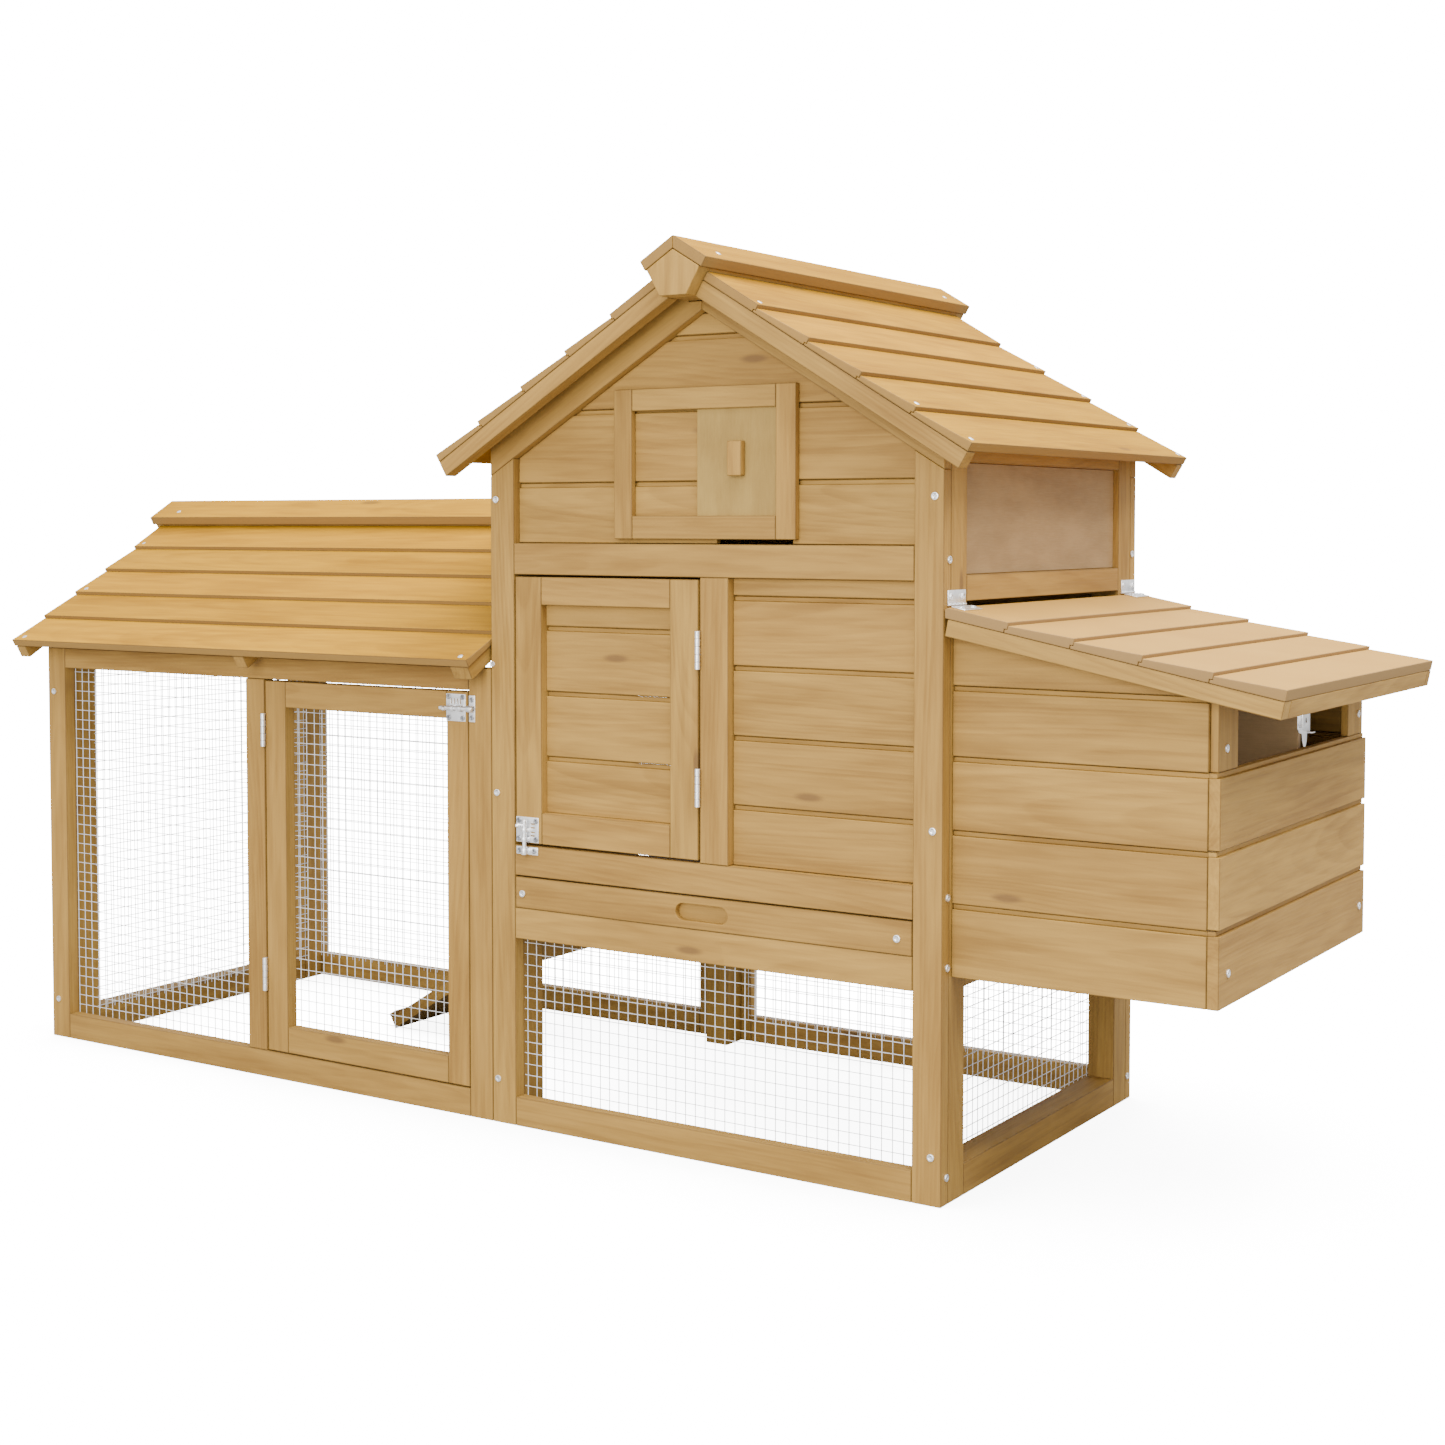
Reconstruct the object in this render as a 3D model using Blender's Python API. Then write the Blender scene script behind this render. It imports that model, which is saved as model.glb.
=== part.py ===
"""Wooden chicken coop: a raised house with a gable roof, a low roofed run and a nest box.

Lengths are in metres and +Z is up. Pieces are laid out from the house's front left bottom corner:
X runs to the right along the front, Y runs back and Z runs up. The run is on the left and the nest
box on the right. One empty then puts the middle of the coop's base at the origin.
"""
import math

import bmesh
import bpy
from mathutils import Matrix, Vector

# Timber and gaps
GAP = 0.0003
POST = 0.0334
FRAME = 0.016
BOARD_INSET = 0.010
BOARD = 0.008
MESH = 0.001

# House
HOUSE_WIDTH = 0.580
HOUSE_DEPTH = 0.505
SIDE_STILE = 0.0357
SIDE_FRAME = 0.0334
LOWER_RAIL = (0.2184, 0.2540)
TRAY_LEVEL = (0.2543, 0.2900)
SILL_RAIL = (0.2918, 0.3270)
DOOR_HEAD = 0.6368
MID_RAIL = (0.6370, 0.6726)
MID_STILE = (0.2877, 0.3235)
LEFT_RAIL_BOTTOM = 0.183
RIGHT_RAIL = (0.6158, 0.6425)
PANEL_SHEET = 0.005
PANEL_RECESS = 0.0066
BACK_STILE = 0.048

# House roof
HOUSE_ROOF_ANGLE = math.radians(31.0)
HOUSE_EAVE = (-0.0496, 0.7735)
HOUSE_BOARD_PITCH = 0.0714
HOUSE_BOARD_Y = (-0.0383, 0.5433)
HOUSE_CAP_Y = (-0.0560, 0.5610)
HOUSE_RIDGE_Z = 0.997
ROOF_BOARD = 0.010
ROOF_STEP = 0.0042
RAFTER_DEPTH = 0.019
RAFTER_WIDTH = 0.018
ROOF_BOARDS = 5
CAP_WIDTH = 0.049
CAP_BOARD = 0.012
BEAM_HALF_BOTTOM = 0.0165
RAKE_DEPTH = 0.0360

# Run
RUN_LENGTH = 0.7647
RUN_OPENING = (0.0334, 0.5015)
RUN_MID_STILE = (-0.3945, -0.3629)
RUN_MESH_LAP = 0.004
RUN_POST_TOP = 0.528
RUN_ROOF_ANGLE = math.radians(29.9)
RUN_EAVE = (-0.0427, 0.5397)
RUN_BOARD_PITCH = 0.0616
RUN_BOARD_X = (-0.7859, -0.0023)
RUN_CAP_X = (-0.7951, -0.0040)
RUN_RIDGE_Z = 0.7279
RUN_RAFTER_DEPTH = 0.017
RUN_RAFTER_X = ((-0.7829, -0.7649), (-0.3785, -0.3605), (-0.0306, -0.0040))

# House door, run door, window and tray
HOUSE_DOOR = ((0.0340, 0.2857), (0.3283, 0.6360))
HOUSE_DOOR_OPENING = ((0.0716, 0.2491), (0.3650, 0.6033))
RUN_DOOR = ((-0.3605, -0.0352), (0.0352, 0.4995))
RUN_DOOR_OPENING = ((-0.3267, -0.0673), (0.0675, 0.4673))
HINGE_AXIS_Y = -0.0034
HINGE_RADIUS = 0.0030
HINGE_LENGTH = 0.042
HOUSE_HINGE_Z = (0.4095, 0.5585)
RUN_HINGE_Z = (0.1310, 0.4380)
BOLT_RADIUS = 0.0025
BOLT_STAND_OFF = 0.006
GRIP_RADIUS = 0.0018
GRIP_LENGTH = 0.008
HOUSE_BOLT = (0.0520, 0.3175)
HOUSE_BOLT_LENGTH = 0.040
HOUSE_BOLT_GRIP = 0.030
RUN_BOLT = (-0.0240, 0.4800)
RUN_BOLT_LENGTH = 0.049
RUN_BOLT_GRIP = 0.025
WINDOW = ((0.1726, 0.4060), (0.6780, 0.8420))
WINDOW_OPENING = ((0.1967, 0.3815), (0.7033, 0.8180))
WINDOW_FRONT_Y = 0.002
WINDOW_LIP = 0.0035
WINDOW_RIM = 0.004
SLIDE_PLAY = 0.0005
KNOB_STAND_OFF = 0.005
KNOB_ROOT = 0.0015
VENT_HOLE = ((0.3030, 0.3980), 0.815)
SLIDE_PANEL = ((0.2800, 0.3995), (0.6930, 0.8285))
SLIDE_KNOB = ((0.3235, 0.3415), (0.7456, 0.7830))
TRAY_FRONT_X = (0.0344, 0.5456)
TRAY_SLOT = (0.2891, 0.2722, 0.0674, 0.0188)
SLOT_DEPTH = 0.008
SLOT_STEPS = 8
PAN = ((0.0600, 0.5200), (0.0175, 0.4800), (0.2570, 0.2860))
PAN_SHEET = 0.0015

# Nest box
NEST_X = (0.5803, 0.8612)
NEST_Y = (0.0208, 0.4934)
NEST_BOTTOM = 0.2333
NEST_END_TOP = 0.4595
NEST_WALL = 0.012
NEST_FLOOR = 0.009
NEST_STILE = 0.057
LID_ANGLE = math.radians(11.1)
LID_TOP = (0.5803, 0.6115)
LID_HINGE_RISE = 0.001
LID_LENGTH = 0.3564
LID_Y = (0.0011, 0.5082)
LID_BOARD = 0.0111
LID_STEP = 0.0035
LID_FRAME_DEPTH = 0.0175
LID_FRAME_WIDTH = 0.018
LID_RIB = (0.2800, 0.2980)
LATCH_X = 0.8610
LATCH_Y = 0.2693
LATCH_TOP = 0.5255
LATCH_PLATE = 0.0485
LATCH_LENGTH = 0.0625
LATCH_WIDTH = 0.039
LATCH_SHEET = 0.0015

# Ramp
RAMP_FOOT_X = -0.400
RAMP_TOP = (-0.0060, 0.2440)
RAMP_Y = (0.2830, 0.4330)
RAMP_BOARD = 0.0165
CLEAT = (0.012, 0.0055)
CLEAT_PITCH = 0.120
POP_HOLE = ((0.2700, 0.4460), (0.2620, 0.5000))

# The middle of the base, from the house's front left corner
BASE_MIDDLE = ((RUN_CAP_X[0] + LID_TOP[0] + LID_LENGTH * math.cos(LID_ANGLE)) / 2, HOUSE_DEPTH / 2, 0.0)

WOOD = ("pine", (0.62, 0.44, 0.22), 0.62, 0.0)
ROOF_WOOD = ("roof_pine", (0.66, 0.47, 0.22), 0.60, 0.0)
PLYWOOD = ("plywood", (0.50, 0.36, 0.22), 0.75, 0.0)
LID_FELT = ("lid_board", (0.68, 0.52, 0.34), 0.85, 0.0)
WIRE = ("galvanised_wire", (0.72, 0.73, 0.74), 0.40, 1.0)
ZINC = ("zinc_plate", (0.78, 0.79, 0.80), 0.35, 1.0)


def clear_scene():
    for item in list(bpy.data.objects):
        bpy.data.objects.remove(item, do_unlink=True)


def new_collection(name):
    collection = bpy.data.collections.new(name)
    bpy.context.scene.collection.children.link(collection)
    return collection


def material(spec):
    name, colour, roughness, metallic = spec
    if name in bpy.data.materials:
        return bpy.data.materials[name]
    made = bpy.data.materials.new(name)
    made.use_nodes = True
    shader = made.node_tree.nodes["Principled BSDF"]
    shader.inputs["Base Color"].default_value = (*colour, 1.0)
    shader.inputs["Roughness"].default_value = roughness
    shader.inputs["Metallic"].default_value = metallic
    return made


def empty(name, location, parent=None):
    made = bpy.data.objects.new(name, None)
    made.empty_display_size = 0.05
    COOP.objects.link(made)
    made.parent = parent
    made.location = location
    return made


def place(item, spot, holder):
    """Parent a piece to the coop's origin or a joint's empty. The spot is from the house's corner."""
    COOP.objects.link(item)
    item.parent = holder
    if holder is not ORIGIN:
        spot = Vector(spot) - holder.location
    item.location = spot
    return item


def box(name, x, y, z, spec, holder=None):
    """A board or sheet between two limits on each axis."""
    size = (x[1] - x[0], y[1] - y[0], z[1] - z[0])
    shape = bmesh.new()
    bmesh.ops.create_cube(shape, size=1.0, matrix=Matrix.Diagonal((*size, 1.0)))
    mesh = bpy.data.meshes.new(name)
    shape.to_mesh(mesh)
    shape.free()
    mesh.materials.append(material(spec))
    middle = ((x[0] + x[1]) / 2, (y[0] + y[1]) / 2, (z[0] + z[1]) / 2)
    return place(bpy.data.objects.new(name, mesh), middle, holder or ORIGIN)


def outline(name, loops, span, spec, facing="front", holder=None):
    """A flat piece cut to an outline, with holes as further loops.

    A front piece has its outline in X and Z and its thickness along Y. A side piece has its outline
    in Y and Z and its thickness along X, and a level piece in X and Y, along Z.
    """
    curve = bpy.data.curves.new(name, "CURVE")
    curve.dimensions = "2D"
    curve.fill_mode = "BOTH"
    curve.extrude = (span[1] - span[0]) / 2
    for loop in loops:
        spline = curve.splines.new("POLY")
        spline.points.add(len(loop) - 1)
        spline.use_cyclic_u = True
        for point, (across, up) in zip(spline.points, loop):
            point.co = (across, up, 0.0, 1.0)
    curve.materials.append(material(spec))
    middle = (span[0] + span[1]) / 2
    item = bpy.data.objects.new(name, curve)
    if facing == "front":
        item.rotation_euler = (math.pi / 2, 0.0, 0.0)
        return place(item, (0.0, middle, 0.0), holder or ORIGIN)
    if facing == "level":
        return place(item, (0.0, 0.0, middle), holder or ORIGIN)
    item.rotation_euler = (math.pi / 2, 0.0, math.pi / 2)
    return place(item, (middle, 0.0, 0.0), holder or ORIGIN)


def rod(name, radius, length, middle, direction, spec, holder=None, sides=16):
    shape = bmesh.new()
    ends = {"radius1": radius, "radius2": radius}
    bmesh.ops.create_cone(shape, cap_ends=True, segments=sides, depth=length, **ends)
    mesh = bpy.data.meshes.new(name)
    shape.to_mesh(mesh)
    shape.free()
    mesh.materials.append(material(spec))
    item = bpy.data.objects.new(name, mesh)
    item.rotation_euler = Vector(direction).to_track_quat("Z", "Y").to_euler()
    return place(item, middle, holder or ORIGIN)


def rectangle(across, up):
    return [(across[0], up[0]), (across[1], up[0]), (across[1], up[1]), (across[0], up[1])]


def grow(limits, amount):
    return (limits[0] - amount, limits[1] + amount)


def as_mesh(item):
    """Turn a curve piece into a welded mesh piece, so that it can be cut."""
    bpy.context.view_layer.update()
    seen = item.evaluated_get(bpy.context.evaluated_depsgraph_get())
    mesh = bpy.data.meshes.new_from_object(seen)
    shape = bmesh.new()
    shape.from_mesh(mesh)
    bmesh.ops.remove_doubles(shape, verts=shape.verts, dist=0.00001)
    shape.to_mesh(mesh)
    shape.free()
    name = item.name
    holder = item.parent
    spot = item.matrix_world.copy()
    bpy.data.objects.remove(item, do_unlink=True)
    made = bpy.data.objects.new(name, mesh)
    COOP.objects.link(made)
    made.parent = holder
    bpy.context.view_layer.update()
    made.matrix_world = spot
    return made


def combine(item, tool, operation):
    """Cut a tool out of a piece, or join it on."""
    COOP.objects.unlink(tool)
    CUTTERS.objects.link(tool)
    tool.hide_render = True
    tool.display_type = "WIRE"
    change = item.modifiers.new(operation.lower(), "BOOLEAN")
    change.operation = operation
    change.solver = "EXACT"
    change.object = tool
    return item


def on_slope(eave, angle, along, height):
    """A point given up a roof slope from its eave's top corner, and square to the slope."""
    across = eave[0] + along * math.cos(angle) - height * math.sin(angle)
    up = eave[1] + along * math.sin(angle) + height * math.cos(angle)
    return (across, up)


def lapped_section(pitch, count, end, thickness, step):
    """Section through boards that lap one over the next, as (distance up the slope, height) pairs.

    Each board thins towards its upper edge, where the next one lies over it, except for the topmost.
    """
    points = [(0.0, -thickness)]
    for index in range(count):
        start = index * pitch
        stop = end if index == count - 1 else start + pitch
        points.append((start, 0.0))
        points.append((stop, 0.0 if index == count - 1 else -step))
    points.append((end, -thickness))
    return points


def mirrored(points, middle):
    return [(2 * middle - across, up) for across, up in points]


def beam_side(eave, angle, middle, depth):
    """Distance up the slope at which the ridge beam's sloping side stands."""
    across = middle - BEAM_HALF_BOTTOM - eave[0]
    return (across - depth * math.sin(angle)) / math.cos(angle)


def ridge_outlines(eave, angle, middle, ridge_z, depth):
    """The ridge cap's two boards as one chevron, and the beam below it."""
    side = beam_side(eave, angle, middle, depth)
    drop = CAP_BOARD / math.cos(angle)
    reach = CAP_WIDTH * math.cos(angle)
    fall = CAP_WIDTH * math.sin(angle)
    low = (middle - reach, ridge_z - fall)
    inner = (low[0] + CAP_BOARD * math.sin(angle), low[1] - CAP_BOARD * math.cos(angle))
    cap = [(middle, ridge_z), low, inner, (middle, ridge_z - drop)]
    cap += mirrored(cap[-2:0:-1], middle)
    peak = ridge_z - drop - 2 * GAP
    foot = on_slope(eave, angle, side, -depth)
    shoulder_height = (peak - eave[1]) * math.cos(angle) - (middle - eave[0]) * math.sin(angle)
    shoulder = on_slope(eave, angle, side, shoulder_height)
    beam = [(middle, peak), shoulder, foot]
    beam += mirrored(beam[:0:-1], middle)
    return cap, beam, side


def beam_notch():
    """The notch that a gable's top has for the house's ridge beam."""
    depth = ROOF_BOARD + RAFTER_DEPTH
    middle = HOUSE_WIDTH / 2
    side = beam_side(HOUSE_EAVE, HOUSE_ROOF_ANGLE, middle, depth) - 2 * GAP
    upper = on_slope(HOUSE_EAVE, HOUSE_ROOF_ANGLE, side, -ROOF_BOARD - GAP)
    lower = on_slope(HOUSE_EAVE, HOUSE_ROOF_ANGLE, side, -depth - 2 * GAP)
    return [upper, lower, *mirrored([lower, upper], middle)]


def house_front():
    inner_x = (POST + GAP, HOUSE_WIDTH - POST - GAP)
    front_y = (0.0, FRAME)
    tangent = math.tan(HOUSE_ROOF_ANGLE)
    underside = HOUSE_EAVE[1] - HOUSE_EAVE[0] * tangent - ROOF_BOARD / math.cos(HOUSE_ROOF_ANGLE) - GAP
    rake_low = underside - RAKE_DEPTH / math.cos(HOUSE_ROOF_ANGLE)
    post = [(0.0, 0.0), (POST, 0.0), (POST, rake_low + POST * tangent - GAP), (0.0, rake_low - GAP)]
    outline("house_front_post_left", [post], front_y, WOOD)
    outline("house_front_post_right", [mirrored(post, HOUSE_WIDTH / 2)], front_y, WOOD)
    middle = HOUSE_WIDTH / 2
    rake = [(0.0, rake_low), (0.0, underside), *beam_notch()]
    rake += [(HOUSE_WIDTH, underside), (HOUSE_WIDTH, rake_low), (middle, rake_low + middle * tangent)]
    outline("house_front_rakes", [rake], front_y, WOOD)
    box("house_front_mid_rail", inner_x, front_y, MID_RAIL, WOOD)
    box("house_front_mid_stile", MID_STILE, front_y, (SILL_RAIL[1] + GAP, DOOR_HEAD), WOOD)
    box("house_front_sill_rail", inner_x, front_y, SILL_RAIL, WOOD)
    box("house_front_lower_rail", inner_x, front_y, LOWER_RAIL, WOOD)
    box("house_front_bottom_rail", inner_x, front_y, (0.0, POST), WOOD)
    board_y = (BOARD_INSET, BOARD_INSET + BOARD)
    board_x = (MID_STILE[1] + GAP, inner_x[1])
    box("house_front_wall_boards", board_x, board_y, (SILL_RAIL[1] + GAP, DOOR_HEAD), WOOD)
    low = MID_RAIL[1] + GAP
    gable = [(inner_x[0], low), (VENT_HOLE[0][0], low), (VENT_HOLE[0][0], VENT_HOLE[1])]
    gable += [(VENT_HOLE[0][1], VENT_HOLE[1]), (VENT_HOLE[0][1], low), (inner_x[1], low)]
    shoulder = rake_low + inner_x[0] * tangent - 2 * GAP
    peak = (middle, rake_low + middle * tangent - 2 * GAP)
    gable += [(inner_x[1], shoulder), peak, (inner_x[0], shoulder)]
    outline("house_front_gable_boards", [gable], board_y, WOOD)
    return underside


def house_mesh():
    """Wire mesh inside the front frame, turning along the right side and then along the back."""
    x = (SIDE_FRAME + 2 * GAP, HOUSE_WIDTH - SIDE_FRAME - GAP)
    y = (FRAME + GAP, HOUSE_DEPTH - FRAME - GAP)
    strip = [(x[0], y[0]), (x[1], y[0]), (x[1], y[1]), (x[0], y[1]), (x[0], y[1] - MESH)]
    strip += [(x[1] - MESH, y[1] - MESH), (x[1] - MESH, y[0] + MESH), (x[0], y[0] + MESH)]
    outline("house_mesh", [strip], (POST / 2, LOWER_RAIL[1] - POST / 2), WIRE, "level")


def side_wall(name, x, rails, spec=WOOD):
    """A side frame: two stiles joined by rails, with openings between them."""
    y = (FRAME + GAP, HOUSE_DEPTH - FRAME - GAP)
    inner_y = (y[0] + SIDE_STILE, y[1] - SIDE_STILE)
    if rails[0][0] > 0.0:
        foot = [(y[0], 0.0), (inner_y[0], 0.0), (inner_y[0], rails[0][0]), (inner_y[1], rails[0][0])]
        foot += [(inner_y[1], 0.0), (y[1], 0.0)]
    else:
        foot = [(y[0], 0.0), (y[1], 0.0)]
    loops = [foot + [(y[1], rails[-1][1]), (y[0], rails[-1][1])]]
    for lower, upper in zip(rails[:-1], rails[1:]):
        loops.append(rectangle(inner_y, (lower[1], upper[0])))
    outline(name, loops, x, spec, "side")
    return inner_y


def house_sides(underside):
    top = underside - GAP
    head = (top - POST, top)
    left_x = (0.0, SIDE_FRAME)
    inner_y = side_wall("house_left_frame", left_x, [(LEFT_RAIL_BOTTOM, LOWER_RAIL[1]), head])
    opening = rectangle(POP_HOLE[0], POP_HOLE[1])
    wall = rectangle(grow(inner_y, -GAP), (LOWER_RAIL[1] + GAP, head[0] - GAP))
    board_x = (BOARD_INSET, BOARD_INSET + BOARD)
    outline("house_left_boards", [wall, opening], board_x, WOOD, "side")
    right_x = (HOUSE_WIDTH - SIDE_FRAME, HOUSE_WIDTH)
    rails = [(0.0, POST), LOWER_RAIL, RIGHT_RAIL, head]
    side_wall("house_right_frame", right_x, rails)
    panel_x = (HOUSE_WIDTH - PANEL_RECESS - PANEL_SHEET, HOUSE_WIDTH - PANEL_RECESS)
    panel_z = (RIGHT_RAIL[1] + GAP, head[0] - GAP)
    box("house_right_panel", panel_x, grow(inner_y, -GAP), panel_z, PLYWOOD)


def house_back(underside):
    y = (HOUSE_DEPTH - FRAME, HOUSE_DEPTH)
    tangent = math.tan(HOUSE_ROOF_ANGLE)
    middle = HOUSE_WIDTH / 2
    outer = [(0.0, 0.0), (HOUSE_WIDTH, 0.0), (HOUSE_WIDTH, underside)]
    outer += [*beam_notch()[::-1], (0.0, underside)]
    inner_x = (BACK_STILE, HOUSE_WIDTH - BACK_STILE)
    low = rectangle(inner_x, (POST, LOWER_RAIL[0]))
    rake = RAKE_DEPTH / math.cos(HOUSE_ROOF_ANGLE)
    shoulder = underside - rake + inner_x[0] * tangent
    high = [(inner_x[0], LOWER_RAIL[1]), (inner_x[1], LOWER_RAIL[1]), (inner_x[1], shoulder)]
    high += [(middle, underside - rake + middle * tangent), (inner_x[0], shoulder)]
    outline("house_back_frame", [outer, low, high], y, WOOD)
    boards = [(inner_x[0] + GAP, LOWER_RAIL[1] + GAP), (inner_x[1] - GAP, LOWER_RAIL[1] + GAP)]
    boards += [(inner_x[1] - GAP, shoulder - 2 * GAP), (middle, high[3][1] - 2 * GAP)]
    boards += [(inner_x[0] + GAP, shoulder - 2 * GAP)]
    outline("house_back_boards", [boards], (y[1] - BOARD_INSET - BOARD, y[1] - BOARD_INSET), WOOD)


def house_roof():
    middle = HOUSE_WIDTH / 2
    depth = ROOF_BOARD + RAFTER_DEPTH
    cap, beam, side = ridge_outlines(HOUSE_EAVE, HOUSE_ROOF_ANGLE, middle, HOUSE_RIDGE_Z, depth)
    outline("house_ridge_cap", [cap], HOUSE_CAP_Y, ROOF_WOOD)
    outline("house_ridge_beam", [beam], HOUSE_CAP_Y, ROOF_WOOD)
    section = lapped_section(HOUSE_BOARD_PITCH, ROOF_BOARDS, side - GAP, ROOF_BOARD, ROOF_STEP)
    boards = [on_slope(HOUSE_EAVE, HOUSE_ROOF_ANGLE, along, height) for along, height in section]
    outline("house_roof_left", [boards], HOUSE_BOARD_Y, ROOF_WOOD)
    outline("house_roof_right", [mirrored(boards, middle)], HOUSE_BOARD_Y, ROOF_WOOD)
    corners = rectangle((0.0, side - GAP), (-depth, -ROOF_BOARD - GAP))
    rafter = [on_slope(HOUSE_EAVE, HOUSE_ROOF_ANGLE, along, height) for along, height in corners]
    spans = {"front": (HOUSE_BOARD_Y[0], HOUSE_BOARD_Y[0] + RAFTER_WIDTH)}
    spans["back"] = (HOUSE_BOARD_Y[1] - RAFTER_WIDTH, HOUSE_BOARD_Y[1])
    for end, span in spans.items():
        outline("house_rafter_" + end + "_left", [rafter], span, ROOF_WOOD)
        outline("house_rafter_" + end + "_right", [mirrored(rafter, middle)], span, ROOF_WOOD)


def run_frames():
    front_y = (0.0, FRAME)
    x = (-RUN_LENGTH, -2 * GAP)
    inner_x = (x[0] + POST, -POST)
    outer = rectangle(x, (0.0, RUN_POST_TOP))
    fixed = rectangle((inner_x[0], RUN_MID_STILE[0]), RUN_OPENING)
    doorway = rectangle((RUN_MID_STILE[1], inner_x[1]), RUN_OPENING)
    outline("run_front_frame", [outer, fixed, doorway], front_y, WOOD)
    back_y = (HOUSE_DEPTH - FRAME, HOUSE_DEPTH)
    outline("run_back_frame", [outer, rectangle(inner_x, RUN_OPENING)], back_y, WOOD)
    y = (FRAME + GAP, HOUSE_DEPTH - FRAME - GAP)
    stile_y = (y[0] + SIDE_STILE, y[1] - SIDE_STILE)
    peak = run_beam_bottom()
    slope = math.tan(RUN_ROOF_ANGLE)
    edge = peak[1] - GAP - (peak[0] - y[0]) * slope
    gable = [(y[0], 0.0), (y[1], 0.0), (y[1], edge), (HOUSE_DEPTH - peak[0], peak[1] - GAP)]
    gable += [(peak[0], peak[1] - GAP), (y[0], edge)]
    outline("run_left_frame", [gable, rectangle(stile_y, RUN_OPENING)], (x[0], inner_x[0]), WOOD, "side")


def run_meshes():
    z = (POST / 2, RUN_OPENING[1] + POST / 4)
    y = (FRAME + GAP, HOUSE_DEPTH - FRAME - GAP)
    left = POST - RUN_LENGTH + GAP
    front_end = RUN_MID_STILE[1] - RUN_MESH_LAP
    back_end = -POST / 2
    strip = [(left, y[0]), (front_end, y[0]), (front_end, y[0] + MESH), (left + MESH, y[0] + MESH)]
    strip += [(left + MESH, y[1] - MESH), (back_end, y[1] - MESH), (back_end, y[1]), (left, y[1])]
    outline("run_mesh", [strip], z, WIRE, "level")


def run_beam_bottom():
    depth = ROOF_BOARD + RUN_RAFTER_DEPTH
    side = beam_side(RUN_EAVE, RUN_ROOF_ANGLE, HOUSE_DEPTH / 2, depth)
    return on_slope(RUN_EAVE, RUN_ROOF_ANGLE, side, -ROOF_BOARD)


def run_roof():
    middle = HOUSE_DEPTH / 2
    depth = ROOF_BOARD + RUN_RAFTER_DEPTH
    cap, beam, side = ridge_outlines(RUN_EAVE, RUN_ROOF_ANGLE, middle, RUN_RIDGE_Z, depth)
    outline("run_ridge_cap", [cap], RUN_CAP_X, ROOF_WOOD, "side")
    beam_bottom = run_beam_bottom()
    beam = [beam[0], beam[1], beam_bottom, (2 * middle - beam_bottom[0], beam_bottom[1]), beam[-1]]
    outline("run_ridge_beam", [beam], RUN_CAP_X, ROOF_WOOD, "side")
    section = lapped_section(RUN_BOARD_PITCH, ROOF_BOARDS, side - GAP, ROOF_BOARD, ROOF_STEP)
    boards = [on_slope(RUN_EAVE, RUN_ROOF_ANGLE, along, height) for along, height in section]
    outline("run_roof_front", [boards], RUN_BOARD_X, ROOF_WOOD, "side")
    outline("run_roof_back", [mirrored(boards, middle)], RUN_BOARD_X, ROOF_WOOD, "side")
    top_height = -ROOF_BOARD - GAP
    ends = [on_slope(RUN_EAVE, RUN_ROOF_ANGLE, 0.0, height) for height in (-depth, top_height)]
    flat = beam_bottom[1] - GAP
    tangent = math.tan(RUN_ROOF_ANGLE)
    upper = (beam_bottom[0], flat)
    lower_peak = ends[0][1] + (middle - ends[0][0]) * tangent
    pair = [ends[0], ends[1], upper, *mirrored([upper, ends[1], ends[0]], middle), (middle, lower_peak)]
    for name, span in zip(("left", "middle", "right"), RUN_RAFTER_X):
        outline("run_rafters_" + name, [pair], span, ROOF_WOOD, "side")


def ramp():
    """A sloping board with cleats across its upper side, seen as one profile along the slope."""
    angle = math.atan2(RAMP_TOP[1], RAMP_TOP[0] - RAMP_FOOT_X)
    foot = (RAMP_FOOT_X, 0.0)
    length = math.hypot(RAMP_TOP[1], RAMP_TOP[0] - RAMP_FOOT_X)
    profile = [(0.0, 0.0), (length, 0.0), (length, RAMP_BOARD)]
    count = int(length / CLEAT_PITCH)
    for index in range(count, -1, -1):
        start = index * CLEAT_PITCH
        top = RAMP_BOARD + CLEAT[1]
        profile += [(start + CLEAT[0], RAMP_BOARD), (start + CLEAT[0], top), (start, top)]
        if index:
            profile.append((start, RAMP_BOARD))
    points = [on_slope(foot, angle, along, height) for along, height in profile]
    outline("ramp", [points], RAMP_Y, WOOD)


def window():
    frame_y = (WINDOW_FRONT_Y, BOARD_INSET - GAP)
    loops = [rectangle(*WINDOW), rectangle(*WINDOW_OPENING)]
    frame = as_mesh(outline("window_frame", loops, frame_y, WOOD))
    pocket_x = grow(WINDOW[0], -WINDOW_RIM)
    pocket_z = grow(SLIDE_PANEL[1], 2 * SLIDE_PLAY)
    lip = WINDOW_FRONT_Y + WINDOW_LIP
    pocket = box("window_pocket", pocket_x, (lip, BOARD_INSET + MESH), pocket_z, WOOD)
    combine(frame, pocket, "DIFFERENCE")
    rail = empty("window_rail", (SLIDE_PANEL[0][0], BOARD_INSET, SLIDE_PANEL[1][0]), ORIGIN)
    panel_y = (lip + SLIDE_PLAY, BOARD_INSET - SLIDE_PLAY)
    panel = box("window_slide", SLIDE_PANEL[0], panel_y, SLIDE_PANEL[1], PLYWOOD, rail)
    knob_y = (WINDOW_FRONT_Y - KNOB_STAND_OFF, panel_y[0] + KNOB_ROOT)
    knob = box("window_knob", SLIDE_KNOB[0], knob_y, SLIDE_KNOB[1], PLYWOOD)
    combine(panel, knob, "UNION")


def hinge_barrels(prefix, x, heights, holder):
    for name, height in zip(("lower", "upper"), heights):
        middle = (x, HINGE_AXIS_Y, height)
        rod(prefix + "_hinge_" + name, HINGE_RADIUS, HINGE_LENGTH, middle, (0, 0, 1), ZINC, holder)


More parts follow.
